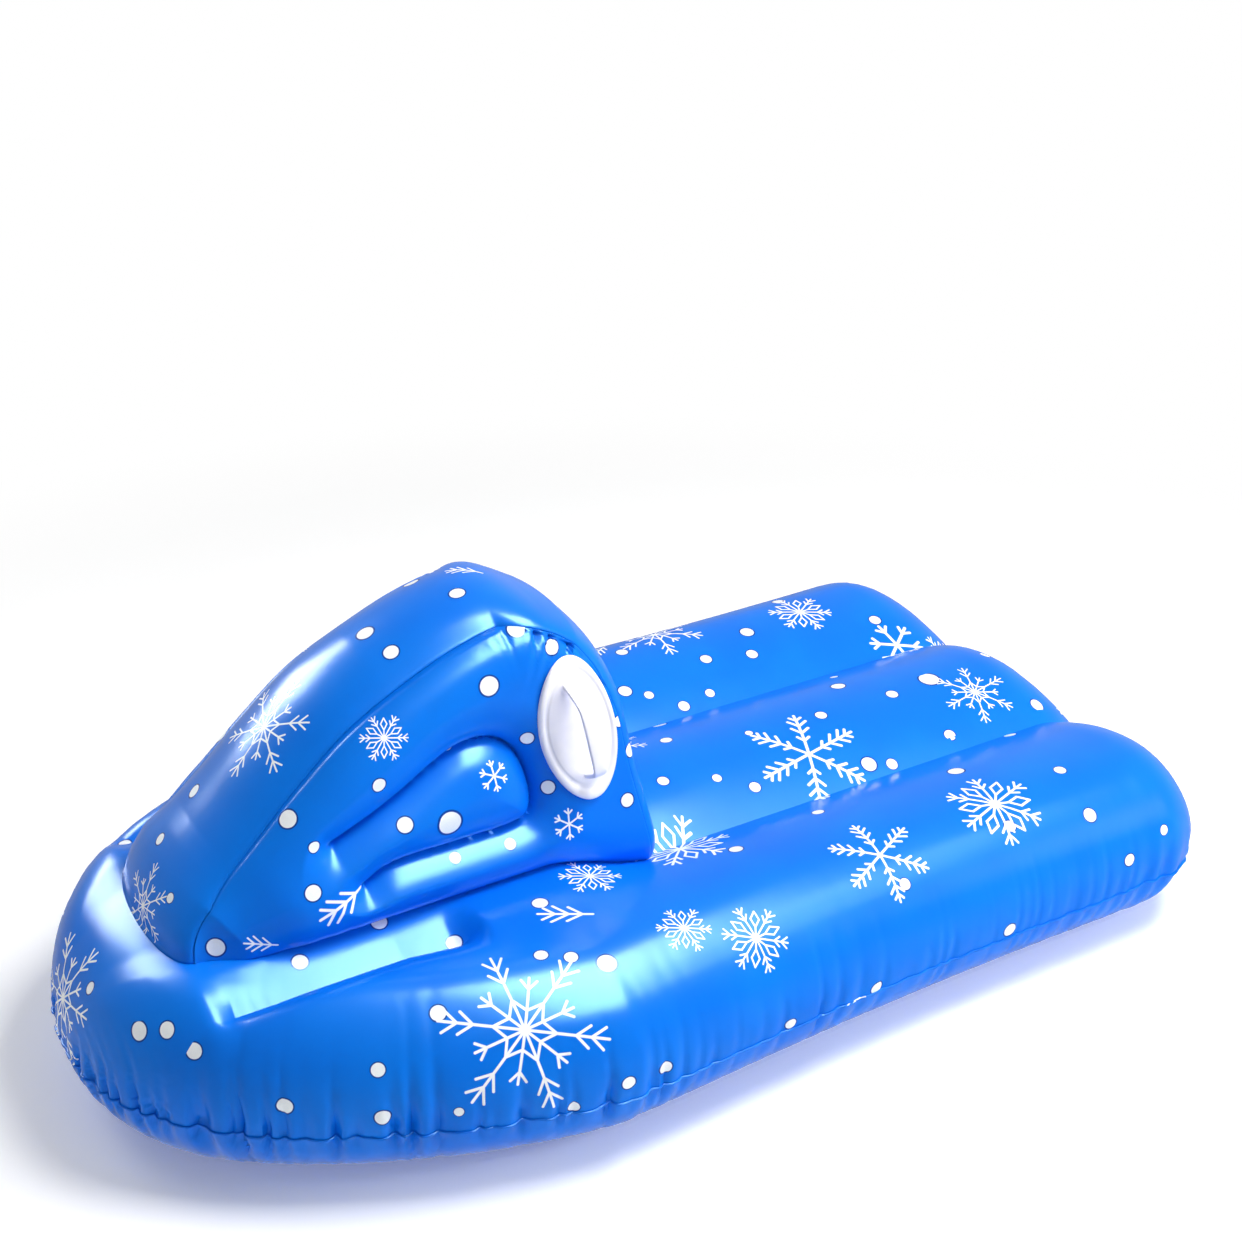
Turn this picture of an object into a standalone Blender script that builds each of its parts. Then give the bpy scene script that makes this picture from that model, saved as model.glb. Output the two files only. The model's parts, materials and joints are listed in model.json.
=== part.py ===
"""Inflatable snow sled of welded PVC film, shaped like a small snowmobile, in metres.

+X runs to the bow, +Y to the rider's left and +Z up. The origin is on the ground, in the middle of
the footprint. Every piece of film is an open surface that a Solidify modifier thickens inwards.
"""

import math

import bpy
import numpy as np
from mathutils import Matrix, Vector
from mathutils.bvhtree import BVHTree

# Film and welds
SHEET = 0.0006
GAP = 0.0003  # clearance that touching pieces keep
WELD_LIP = 0.004  # width of the flat weld round the hull
SEAT = 0.0009  # height of a piece's edge above the facets that it is welded to

# Hull: overall size of the inflated body, without the weld lip
LENGTH = 1.194
WIDTH = 0.68
CREST_HEIGHT = 0.190  # top of the side tubes
CENTRE_HEIGHT = 0.192  # top of the centre channel
EQUATOR_HEIGHT = 0.095  # where the side tubes are widest
SIDE_RADIUS = 0.095  # of a side tube, seen from above
SEAM_ANGLE = math.radians(12)  # how far the weld lies below the widest line
BOW_LENGTH = 0.43  # over which the outline rounds in
BOW_SHARE = 1.36  # power of the bow's curve: 2 is an ellipse
BOW_END_SHARE = 0.46
TIP_HALF_WIDTH = 0.012
ROUND_SHARE = 0.65  # of the half width that a side tube's round may take up
STERN_CORNER = 0.115  # radius of the stern's corners, seen from above
STERN_ROUND = 0.095  # length over which the channels' rear ends round down
BOW_ROUND = 0.105  # the same at the bow
FLARE = 0.012  # how much wider the stern is than the middle

# Valleys that the long webs pull into the deck and the base
WEB_Y = 0.112
VALLEY_DEPTH = 0.034
GROOVE_DEPTH = 0.012  # of the same webs' grooves in the base
GROOVE_HALF_WIDTH = 0.018
WEB_END_MARGIN = 0.035  # the webs stop this far short of the stern's weld
WEB_BOW_MARGIN = 0.177  # and of the bow's

# The short creases beside the hood
CREASE_Y = 0.160
CREASE_LENGTH = 0.28
CREASE_BOW_MARGIN = 0.085
CREASE_DEPTH = 0.021  # below the side tubes' top
CREASE_WIDTH = 0.040  # over which the tube curves down into it
CREASE_FADE = 0.035
ROUND_CELLS = 6  # facets across the deck from the weld to the crease, and from there to the valley
SLOPE_CELLS = 3

# Hood
HOOD_LENGTH = 0.465
HOOD_BOW_MARGIN = 0.114  # from its front edge to the bow's weld
HOOD_BLEND = 0.13  # of the hood's foot, along which the valleys rise to their end
HOOD_RISE = 0.243  # of the flank panels' upper edge above the valley
HOOD_TOP_HALF_WIDTH = 0.068
RIDGE_BULGE = 0.030  # of the ridge band above the panels' edge, at most
# Shares of the edge's length from the rear, and of RIDGE_BULGE
RIDGE_BULGE_SHARES = ((0, 1), (0.25, 0.87), (0.38, 0.53), (0.46, 0.70), (0.60, 0.90),
                      (0.75, 0.80), (0.88, 0.67), (1, 0.80))
NOSE_BULGE = 0.026  # of the same band where it meets the bow deck
REAR_BULGE = 0.030
FLANK_BULGE = 0.030
CHANNEL_RADIUS = 0.050  # half the width of the flank's channels
RIDGE_POWER = 1.40  # of the band's arch where its weld is a sharp crease
SOFT_POWER = 0.95  # of the same arch where the film runs smoothly over the weld
APEX_SHARE = 0.293  # of HOOD_LENGTH, where the sharp crease ends behind
APEX_FADE = 0.045
REAR_SLACK = 0.050  # how far the rear edge lies from the flank's pinch, low down
TOP_SLACK = 0.009  # and at the top
SLACK_LOW_SHARE = 0.45  # of HOOD_RISE, between which heights it shrinks
SLACK_HIGH_SHARE = 0.86
NOSE_MARGIN = 0.020  # of the flat film round the nose's foot
NOSE_FADE = 0.090  # over which the flank's bulge grows beyond it
NOSE_TAPER = 0.018  # by which the hood narrows at the nose
NOSE_TAPER_LENGTH = 0.053  # along the hood's foot
RIDGE_TAPER_LENGTH = 0.190  # along its ridge
RIDGE_TAPER_SHARE = 0.30  # of HOOD_RISE, above which the ridge narrows with it
FOOT_BLEND = 0.060  # height over which the band leaves the deck's own curve
# Upper edge of a flank panel: shares of HOOD_LENGTH from the rear, and of HOOD_RISE
REAR_FOOT_SHARE = 0.030
REAR_EDGE_SHARES = ((0.050, 0.1), (0.070, 0.35), (0.085, 0.58), (0.115, 0.76), (0.16, 0.89))
TOP_EDGE_SHARES = ((0.16, 0.89), (0.22, 0.965), (0.29, 1.005), (0.383, 0.97), (0.49, 0.892),
                   (0.642, 0.743), (0.761, 0.557), (0.850, 0.397), (0.918, 0.278),
                   (0.975, 0.165), (1.004, 0.075), (1.013, 0))
# The tongue-shaped weld, as shares of the same two sizes
TONGUE_SHARES = ((0.72, 0.34), (0.58, 0.45), (0.47, 0.555), (0.41, 0.587), (0.35, 0.57),
                 (0.305, 0.49), (0.284, 0.35), (0.295, 0.245), (0.34, 0.212), (0.45, 0.208),
                 (0.60, 0.205), (0.67, 0.158))

# Moulded handle
HANDLE_LENGTH = 0.146
HANDLE_WIDTH = 0.080
HANDLE_PLATE = 0.003
HANDLE_LIFT = 0.0008  # clears the flank between the plate's corners
HANDLE_TILT = math.radians(8)  # its top leans forward
HANDLE_MARGIN = 0.0045  # from the hood's rear edge at its middle's height
HANDLE_Z_SHARE = 0.568  # of HOOD_RISE
GRIP_LENGTH = 0.100  # between the outer ends of its feet
GRIP_WIDTH = 0.014
GRIP_THICKNESS = 0.0048
GRIP_HEIGHT = 0.030  # of its outer face above the plate
GRIP_FOOT = 0.018  # length of each sloping foot

# Valves
FLANGE_RADIUS = 0.018
FLANGE_THICKNESS = 0.0012
BORE_RADIUS = 0.0066
COLLAR_WALL = 0.0012
COLLAR_DEPTH = 0.009
STEM_CLEARANCE = 0.0004
STEM_WALL = 0.0018
RIM_RADIUS = 0.0082
RIM_THICKNESS = 0.0016
STEM_TRAVEL = 0.010
STOP_THICKNESS = 0.0014
CAP_THICKNESS = 0.0016
PLUG_DEPTH = 0.0045
PLUG_TAPER = 0.0009
STRAP_WIDTH = 0.005
STRAP_REACH = 0.0014  # from the cap's edge to its hinge line
FLAP_THICKNESS = 0.0006
HULL_VALVE_HEIGHT = 0.125
HOOD_VALVE_SHARE = 0.42  # of HOOD_RISE, above the deck

ROUND_STEPS = 24  # facets of the valves' round parts
STERN_X = -LENGTH / 2
BOW_X = LENGTH / 2
HOOD_REAR_X = BOW_X - HOOD_BOW_MARGIN - HOOD_LENGTH
CREASE_FRONT_X = BOW_X - CREASE_BOW_MARGIN
CREASE_REAR_X = CREASE_FRONT_X - CREASE_LENGTH
SEAM_HEIGHT = EQUATOR_HEIGHT * (1 - math.sin(SEAM_ANGLE))


def clear_scene():
    for item in list(bpy.data.objects):
        bpy.data.objects.remove(item, do_unlink=True)


def finish(name, colour, roughness):
    """A plastic's Principled material."""
    made = bpy.data.materials.new(name)
    made.use_nodes = True
    shader = made.node_tree.nodes["Principled BSDF"]
    shader.inputs["Base Color"].default_value = (*colour, 1)
    shader.inputs["Roughness"].default_value = roughness
    shader.inputs["Metallic"].default_value = 0
    return made


def add_mesh(name, points, faces, material, sharp=math.radians(40)):
    mesh = bpy.data.meshes.new(name)
    mesh.from_pydata([tuple(p) for p in points], [], [tuple(f) for f in faces])
    mesh.validate()
    mesh.materials.append(material)
    mesh.shade_smooth()
    mesh.set_sharp_from_angle(angle=sharp)
    made = bpy.data.objects.new(name, mesh)
    bpy.context.scene.collection.objects.link(made)
    return made


def grid_faces(rows, columns):
    """Quads of a grid of points, which face the side from which rows x columns turn left."""
    first = np.arange(rows - 1)[:, None] * columns + np.arange(columns - 1)[None, :]
    corners = np.stack([first, first + columns, first + columns + 1, first + 1], -1)
    return corners.reshape(-1, 4).tolist()


def merged(points, faces):
    """The same faces with points that coincide made one, and faces that collapse dropped."""
    points = np.asarray(points, float)
    tight = SHEET / 100
    _, keep, index = np.unique(np.round(points / tight), axis=0, return_index=True,
                               return_inverse=True)
    index = index.reshape(-1)
    kept = []
    for face in faces:
        ring = [index[i] for i in face]
        ring = [v for i, v in enumerate(ring) if v != ring[i - 1]]
        if len(set(ring)) > 2:
            kept.append(ring)
    return points[keep], kept


def add_film(name, points, faces, material, thickness=SHEET):
    """A surface of film, thickened away from the side that its faces show."""
    points, faces = merged(points, faces)
    made = add_mesh(name, points, faces, material)
    wall = made.modifiers.new("Wall", "SOLIDIFY")
    wall.thickness = thickness
    wall.offset = -1
    wall.use_even_offset = True
    wall.use_rim = True
    return made


def surface_of(*objects):
    """A tree of these objects' surfaces as their modifiers leave them."""
    bpy.context.view_layer.update()
    graph = bpy.context.evaluated_depsgraph_get()
    return [BVHTree.FromObject(each, graph) for each in objects]


def smooth_step(t):
    t = np.clip(t, 0, 1)
    return t * t * (3 - 2 * t)


def smooth_curve(points, count):
    """Points evenly spaced along a Catmull-Rom curve through the given ones."""
    points = np.asarray(points, float)
    padded = np.vstack([2 * points[0] - points[1], points, 2 * points[-1] - points[-2]])
    t = np.linspace(0, 1, 24, endpoint=False)[:, None]
    runs = []
    for a, b, c, d in zip(padded, padded[1:], padded[2:], padded[3:]):
        runs.append(0.5 * (2 * b + (c - a) * t + (2 * a - 5 * b + 4 * c - d) * t**2
                           + (3 * b - a - 3 * c + d) * t**3))
    fine = np.vstack(runs + [points[-1:]])
    along = np.concatenate([[0], np.cumsum(np.linalg.norm(np.diff(fine, axis=0), axis=1))])
    at = np.linspace(0, along[-1], count)
    return np.stack([np.interp(at, along, fine[:, k]) for k in range(points.shape[1])], -1)


# Hull


def half_width(x):
    """The hull's half width at its widest line."""
    ahead = np.clip((x - (BOW_X - BOW_LENGTH)) / BOW_LENGTH, 0, 1)
    full = WIDTH / 2 - TIP_HALF_WIDTH
    width = TIP_HALF_WIDTH + full * (1 - ahead**BOW_SHARE) ** BOW_END_SHARE
    behind = np.clip((STERN_X + STERN_CORNER - x) / STERN_CORNER, 0, 1)
    middle = np.clip((x - STERN_X) / (LENGTH - BOW_LENGTH), 0, 1)
    waist = FLARE * np.sin(math.pi * middle)
    return width - STERN_CORNER * (1 - np.sqrt(1 - behind**2)) - waist


def end_share(x):
    """How much of its full height a section has: the ends round down to the weld."""
    behind = np.clip((STERN_X + STERN_ROUND - x) / STERN_ROUND, 0, 1)
    ahead = np.clip((x - (BOW_X - BOW_ROUND)) / BOW_ROUND, 0, 1)
    return np.sqrt(1 - behind**2) * np.sqrt(1 - ahead**2)


def side_reach(x):
    """Plan radius of the side tube's round, which shrinks where the hull is narrow."""
    most = ROUND_SHARE * half_width(x)
    return most * SIDE_RADIUS / (most**4 + SIDE_RADIUS**4) ** 0.25


def web_line(x):
    """Where the long valley lies: straight, and drawn in where the bow gets narrow."""
    crest = half_width(x) - side_reach(x)
    return np.minimum(WEB_Y, 0.55 * crest)


def stations():
    """X of the hull's sections, closer together where its ends round."""
    stern = STERN_X + STERN_CORNER * (1 - np.cos(np.linspace(0, math.pi / 2, 7)))
    bow = BOW_X - BOW_LENGTH * (1 - np.sin(np.linspace(0, math.pi / 2, 10)))
    rear = np.linspace(stern[-1], HOOD_REAR_X - HOOD_BLEND, 5)
    rise = HOOD_REAR_X - HOOD_BLEND * np.array([0.7, 0.35, 0])
    middle = np.linspace(HOOD_REAR_X, bow[0], 4)
    return np.concatenate([stern[:-1], rear, rise, middle[1:], bow[1:]])


def section_x(x, count):
    return np.broadcast_to(x[:, None], (len(x), count))


def round_line(x, angle):
    """Y of the side tube's round at these angles, flattened where the ends close to the weld."""
    reach = side_reach(x)[:, None]
    share = (angle - angle[0]) / (angle[-1] - angle[0])
    flat = (1 - end_share(x)[:, None]) ** 3
    curve = np.cos(angle) * (1 - flat) + np.abs(1 - share) * flat
    return half_width(x)[:, None] - reach + reach * curve


def plain_deck(x, place):
    """Y and Z of the deck without its short creases. Place is 0 at the weld, 1 at the side tube's
    crest and 2 in the valley: a round from 0 to 1, then a parabola."""
    width, reach = half_width(x)[:, None], side_reach(x)[:, None]
    crest, web = width - reach, web_line(x)[:, None]
    turn = np.clip(place, 0, 1)
    angle = turn * (math.pi / 2 + SEAM_ANGLE) - SEAM_ANGLE
    flat = (1 - end_share(x)[:, None]) ** 3
    round_y = crest + reach * (np.cos(angle) * (1 - flat) + (1 - turn) * flat)
    above = np.where(angle > 0, CREST_HEIGHT - EQUATOR_HEIGHT, EQUATOR_HEIGHT)
    slope = np.clip(place - 1, 0, 1)
    narrow = smooth_step((crest - web) / SIDE_RADIUS * 2)
    rising = smooth_step((HOOD_REAR_X + HOOD_BLEND - x) / HOOD_BLEND)
    depth = VALLEY_DEPTH * narrow * rising[:, None]
    y = np.where(place < 1, round_y, crest + (web - crest) * slope)
    z = np.where(place < 1, EQUATOR_HEIGHT + above * np.sin(angle),
                 CREST_HEIGHT - depth * slope**2)
    return y, z


def crease_place(x):
    """Where the short crease runs: at CREASE_Y, on the slope or over the crest on the round."""
    reach, web = side_reach(x), web_line(x)
    crest = half_width(x) - reach
    inside = 1 + np.clip((crest - CREASE_Y) / (crest - web), 0, 0.5)
    angle = np.arccos(np.clip((CREASE_Y - crest) / reach, 0, 0.9))
    outside = (angle + SEAM_ANGLE) / (math.pi / 2 + SEAM_ANGLE)
    return np.where(crest > CREASE_Y, inside, outside)


def deck_half(x):
    """Y and Z of the deck's half sections, from the weld over the crest to the centre line."""
    crease = crease_place(x)[:, None]
    share = np.linspace(0, 1, ROUND_CELLS + 1)[None, :]
    rest = np.linspace(0, 1, SLOPE_CELLS + 1)[None, 1:]
    y, z = plain_deck(x, np.concatenate([share * crease, crease + (2 - crease) * rest], 1))
    line_y, line_z = y[:, [ROUND_CELLS]], z[:, [ROUND_CELLS]]
    beside = (smooth_step((x - CREASE_REAR_X) / CREASE_FADE)
              * smooth_step((CREASE_FRONT_X - x) / CREASE_FADE))[:, None]
    dip = beside * np.clip(line_z - (CREST_HEIGHT - CREASE_DEPTH), 0, None)
    outer = (1 - np.clip((y - line_y) / CREASE_WIDTH, 0, 1)) ** 2
    inner = 1 - np.clip((line_y - y) / (CREASE_Y - WEB_Y), 0, 1)
    z = z - dip * np.where(y > line_y, outer, inner)
    width, web = half_width(x)[:, None], web_line(x)[:, None]
    narrow = smooth_step((width - side_reach(x)[:, None] - web) / SIDE_RADIUS * 2)
    valley = z[:, -1:]
    across = np.array([2 / 3, 1 / 3, 0])
    centre_y = web * across
    top = CREST_HEIGHT + narrow * (CENTRE_HEIGHT - CREST_HEIGHT)
    centre_z = valley + (top - valley) * (1 - across**2)
    y = np.concatenate([y, centre_y], 1)
    z = np.concatenate([z, centre_z], 1)
    z = SEAM_HEIGHT + (z - SEAM_HEIGHT) * end_share(x)[:, None]
    return y, z


def base_half(x):
    """Y and Z of the base's half sections, from the weld down to the flat and the centre line."""
    width, reach = half_width(x)[:, None], side_reach(x)[:, None]
    crest, web = width - reach, web_line(x)[:, None]
    angle = np.linspace(-SEAM_ANGLE, -math.pi / 2, 4)
    round_y = round_line(x, angle)
    round_z = EQUATOR_HEIGHT * (1 + np.sin(angle)) + 0 * width
    lip = np.minimum(GROOVE_HALF_WIDTH, 0.3 * web)
    narrow = smooth_step((crest - web) / SIDE_RADIUS * 2)
    flat_y = np.concatenate([web + lip, web, web - lip, 0 * web], 1)
    flat_z = np.concatenate([0 * web, narrow * GROOVE_DEPTH, 0 * web, 0 * web], 1)
    y = np.concatenate([round_y, flat_y], 1)
    z = np.concatenate([round_z, flat_z], 1)
    z = SEAM_HEIGHT + (z - SEAM_HEIGHT) * end_share(x)[:, None]
    return y, z


def mirrored_grid(x, y, z):
    """A full grid of points from half sections that end on the centre line."""
    y = np.concatenate([y, -y[:, -2::-1]], 1)
    z = np.concatenate([z, z[:, -2::-1]], 1)
    return np.stack([section_x(x, y.shape[1]), y, z], -1)


def with_lip(grid, height):
    """Points and downward faces of the grid and of a flat weld lip round it at this height."""
    rows, columns = grid.shape[:2]
    faces = grid_faces(rows, columns)
    index = np.arange(rows * columns).reshape(rows, columns)
    loop = np.concatenate([index[:, 0], index[-1, 1:], index[-2::-1, -1], index[0, -2:0:-1]])
    points = grid.reshape(-1, 3).copy()
    points[loop, 2] = height
    border = points[loop, :2]
    ahead, behind = np.roll(border, -1, 0) - border, border - np.roll(border, 1, 0)
    unit = ahead / np.linalg.norm(ahead, axis=1)[:, None]
    unit = unit + behind / np.linalg.norm(behind, axis=1)[:, None]
    unit /= np.linalg.norm(unit, axis=1)[:, None]
    outward = np.stack([-unit[:, 1], unit[:, 0]], -1)
    outer = np.column_stack([border + WELD_LIP * outward, np.full(len(loop), height)])
    first = len(points)
    count = len(loop)
    quads = [(loop[i], first + i, first + (i + 1) % count, loop[(i + 1) % count])
             for i in range(count)]
    return np.vstack([points, outer]), faces + quads


def make_hull(blue, web_film):
    x = stations()
    points, faces = with_lip(mirrored_grid(x, *deck_half(x)), SEAM_HEIGHT + SHEET + GAP / 2)
    deck = add_film("hull_deck_sheet", points, [face[::-1] for face in faces], blue)
    points, faces = with_lip(mirrored_grid(x, *base_half(x)), SEAM_HEIGHT - SHEET - GAP / 2)
    base = add_film("hull_base_sheet", points, faces, blue)

    deck_tree, base_tree = surface_of(deck, base)
    for side, name in ((1, "left"), (-1, "right")):
        inside = x[(x > STERN_X + WEB_END_MARGIN) & (x < BOW_X - WEB_BOW_MARGIN)]
        make_web(f"hull_web_{name}", inside, side * web_line(inside), deck_tree, base_tree,
                 web_film)
        inside = x[(x > CREASE_REAR_X + CREASE_FADE / 2) & (x < CREASE_FRONT_X - CREASE_FADE / 2)]
        line = np.full(len(inside), side * CREASE_Y)
        make_web(f"bow_web_{name}", inside, line, deck_tree, base_tree, web_film)
    return deck, base


def reach_along(tree, start, direction):
    """Distance from a point to the surface in that direction."""
    hit = tree.ray_cast(Vector(start), Vector(direction))
    return hit[3]


def make_web(name, x, y, deck_tree, base_tree, material):
    """An upright strip of film between the deck and the base, along the given line."""
    middle = EQUATOR_HEIGHT
    tops, bottoms = [], []
    for px, py in zip(x, y):
        spots = [(px, py + side * SHEET, middle) for side in (-1, 0, 1)]
        tops.append(middle + min(reach_along(deck_tree, spot, (0, 0, 1)) for spot in spots))
        bottoms.append(middle - min(reach_along(base_tree, spot, (0, 0, -1)) for spot in spots))
    line = np.stack([x, y + SHEET / 2], -1)
    top = np.column_stack([line, np.array(tops) - SEAT])
    bottom = np.column_stack([line, np.array(bottoms) + SEAT])
    grid = np.stack([top, bottom], 1)
    return add_film(name, grid.reshape(-1, 3), grid_faces(len(x), 2), material)


# Hood


def share_points(shares, base_height):
    shares = np.asarray(shares, float)
    return np.column_stack([HOOD_REAR_X + HOOD_LENGTH * shares[:, 0],
                            base_height + HOOD_RISE * shares[:, 1]])


def distance_to(points, line):
    """Distance from each XZ point to a polyline."""
    best = np.full(points.shape[:-1], np.inf)
    for a, b in zip(line, line[1:]):
        run = b - a
        t = np.clip(((points - a) @ run) / (run @ run), 0, 1)
        best = np.minimum(best, np.linalg.norm(points - a - t[..., None] * run, axis=-1))
    return best


def edge_half_width(height_share):
    """Half the ridge band's width: the valleys' spacing at the deck, less at the top."""
    share = np.sin(np.clip(height_share, 0, 1) * math.pi / 2)
    return WEB_Y - (WEB_Y - HOOD_TOP_HALF_WIDTH) * share


def pull_to(grid, line, reach):
    """Moves the inner grid points that lie within reach of a line onto it, for a crisp crease."""
    flat = grid[1:-1, 1:-1].reshape(-1, 2).copy()
    fine = line
    gap = np.linalg.norm(flat[:, None] - fine[None], axis=-1)
    near = gap.argmin(1)
    close = gap.min(1) < reach
    flat[close] = fine[near[close]]
    moved = grid.copy()
    moved[1:-1, 1:-1] = flat.reshape(grid[1:-1, 1:-1].shape)
    return moved


TONGUE_FINE = 4  # fine points along the tongue's weld for each of its web's points


def edge_slack(edge, valley_height):
    """How far each edge point counts as lying from the flank's pinch: none along the crease."""
    steps = np.linalg.norm(np.diff(edge, axis=0), axis=1)
    along = np.concatenate([[0], np.cumsum(steps)])
    first = np.abs(edge[:, 0] - HOOD_REAR_X - APEX_SHARE * HOOD_LENGTH).argmin()
    sharp = smooth_step((along - along[first]) / APEX_FADE + 2 / 3)
    share = (edge[:, 1] - valley_height) / HOOD_RISE
    high = smooth_step((share - SLACK_LOW_SHARE) / (SLACK_HIGH_SHARE - SLACK_LOW_SHARE))
    slack = (1 - sharp) * (REAR_SLACK + (TOP_SLACK - REAR_SLACK) * high)
    ahead = smooth_step((along[-1] - along) / NOSE_FADE)
    return slack, sharp * ahead, along / along[-1]


def flank_panel(valley_height, valley_line, columns, rows):
    """The left flank panel as a grid: rows run from the deck to the ridge, columns forward.
    Valley_line gives the deck's height at the flank's foot."""
    rear_x = HOOD_REAR_X + REAR_FOOT_SHARE * HOOD_LENGTH
    behind = share_points(REAR_EDGE_SHARES, valley_height)
    rear = smooth_curve(np.vstack([[rear_x, valley_line(rear_x)], behind]), rows)
    top = smooth_curve(share_points(TOP_EDGE_SHARES, valley_height), columns)
    foot_x = np.linspace(rear_x, top[-1, 0], columns)
    foot = np.stack([foot_x, valley_line(foot_x)], -1)
    up = np.linspace(0, 1, rows)[None, :, None]
    flat = foot[:, None] * (1 - up) + top[:, None] * up
    bend = rear - flat[0]
    fade = (1 - np.linspace(0, 1, columns)) ** 2
    flat = flat + bend[None] * fade[:, None, None]
    tongue = smooth_curve(share_points(TONGUE_SHARES, valley_height), 36 * TONGUE_FINE + 1)
    flat = pull_to(flat, tongue, 0.45 * HOOD_LENGTH / columns)
    edge = np.vstack([rear, top[1:]])
    slack, sharp, along = edge_slack(edge, valley_height)
    gap = np.linalg.norm(flat[:, :, None] - edge, axis=-1)
    beside = slack[gap.argmin(-1)]
    to_weld = np.minimum(distance_to(flat, edge) + beside, distance_to(flat, foot))
    to_weld = np.minimum(to_weld, distance_to(flat, tongue))
    near = 1 - np.clip(to_weld / CHANNEL_RADIUS, 0, 1)
    share = np.clip((flat[..., 1] - valley_height) / HOOD_RISE, 0, 1)
    to_nose = np.linalg.norm(flat - edge[-1], axis=-1)
    bulge = FLANK_BULGE * smooth_step((to_nose - NOSE_MARGIN) / NOSE_FADE)
    ahead = flat[..., 0] - top[-1, 0]
    high = smooth_step(share / RIDGE_TAPER_SHARE)
    taper = np.maximum(smooth_step(ahead / NOSE_TAPER_LENGTH + 1),
                       smooth_step(ahead / RIDGE_TAPER_LENGTH + 1) * high)
    half = edge_half_width(share) - NOSE_TAPER * taper + bulge * np.sqrt(1 - near**2)
    panel = np.stack([flat[..., 0], half + SHEET + GAP, flat[..., 1]], -1)
    return panel, edge, sharp, along, tongue


def seat_on(deck_tree, points):
    """Heights that keep a line through these XY points just clear of the deck's facets."""
    above = CREST_HEIGHT + HOOD_RISE
    share = np.linspace(0, 1, 9)[None, :, None]
    fine = points[:-1, None, :2] * (1 - share) + points[1:, None, :2] * share
    deck = np.array([[above - min(reach_along(deck_tree, (x, side * y, above), (0, 0, -1))
                                  for side in (-1, 1)) for x, y in run] for run in fine])
    ends = np.append(deck[:, 0], deck[-1, -1])
    share = share[..., 0]
    chord = ends[:-1, None] * (1 - share) + ends[1:, None] * share
    return ends + max((deck - chord).max(), 0) + SEAT


def ridge_band(edge, half, sharp, along, deck_tree, steps):
    """The band over the hood: an arch between the two flank edges at each point of the edge, a
    low one along the sharp crease and an ellipse elsewhere."""
    run = np.gradient(edge, axis=0)
    run /= np.linalg.norm(run, axis=1)[:, None]
    outward = np.stack([-run[:, 1], run[:, 0]], -1)
    bulge = RIDGE_BULGE * np.interp(along, *np.transpose(RIDGE_BULGE_SHARES))
    angle = np.linspace(0, math.pi, steps)
    power = SOFT_POWER + (RIDGE_POWER - SOFT_POWER) * sharp
    arch = np.sin(angle)[None].clip(0) ** power[:, None]
    y = half[:, None] * np.cos(angle)[None]
    flat = edge[:, None] + (bulge[:, None] * arch)[..., None] * outward[:, None]
    grid = np.stack([flat[..., 0], y, flat[..., 1]], -1)
    for row, forward in ((0, -REAR_BULGE), (-1, NOSE_BULGE)):
        free = grid[row, :, 2].copy()
        grid[row, :, 0] = edge[row, 0] + forward * arch[row]
        grid[row, :, 2] = seat_on(deck_tree, grid[row])
        lift = (grid[row, :, 2] - free)[1:-1]
        low = np.clip(1 - (edge[:, 1] - edge[row, 1]) / FOOT_BLEND, 0, 1)
        low = low * (np.abs(along - along[row]) < 0.5)
        low[row] = 0
        grid[:, 1:-1, 2] += low[:, None] * lift
    return grid


def make_hood(blue, web_film, deck):
    deck_tree, = surface_of(deck)
    x = stations()
    heights = deck_half(x)[1][:, -4]
    valley = np.interp(HOOD_REAR_X + HOOD_LENGTH / 2, x, heights)
    columns, rows, steps = 24, 11, 11
    panel, edge, sharp, along, tongue = flank_panel(
        valley, lambda at: np.interp(at, x, heights), columns, rows)
    panel[:, 0, 2] = seat_on(deck_tree, panel[:, 0])
    panel[-1] = panel[-1, 0]
    faces = grid_faces(columns, rows)
    left = add_film("hood_side_left", panel.reshape(-1, 3), faces, blue)
    other = panel * [1, -1, 1]
    right = add_film("hood_side_right", other.reshape(-1, 3), [f[::-1] for f in faces], blue)

    half = np.concatenate([panel[0, :, 1], panel[1:, -1, 1]]) - SHEET - GAP
    grid = ridge_band(edge, half, sharp, along, deck_tree, steps)
    faces = [face[::-1] for face in grid_faces(len(edge), steps)]
    ridge = add_film("hood_ridge_sheet", grid.reshape(-1, 3), faces, blue)

    tree, = surface_of(left)
    reach = np.array([min(reach_along(tree, (px + dx * SHEET, 0, pz + dz * SHEET), (0, 1, 0))
                          for dx in (-1, 1) for dz in (-1, 1)) for px, pz in tongue])
    keep = np.arange(TONGUE_FINE, len(tongue) - 1, TONGUE_FINE)
    half = np.array([reach[k - TONGUE_FINE:k + TONGUE_FINE + 1].min() for k in keep]) - SEAT
    line = tongue[keep]
    grid = np.stack([np.column_stack([line[:, 0], half, line[:, 1]]),
                     np.column_stack([line[:, 0], -half, line[:, 1]])], 1)
    add_film("hood_web_tongue", grid.reshape(-1, 3), grid_faces(len(keep), 2), web_film)
    return left, right, ridge, valley


# Lathed and moulded small parts


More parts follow.
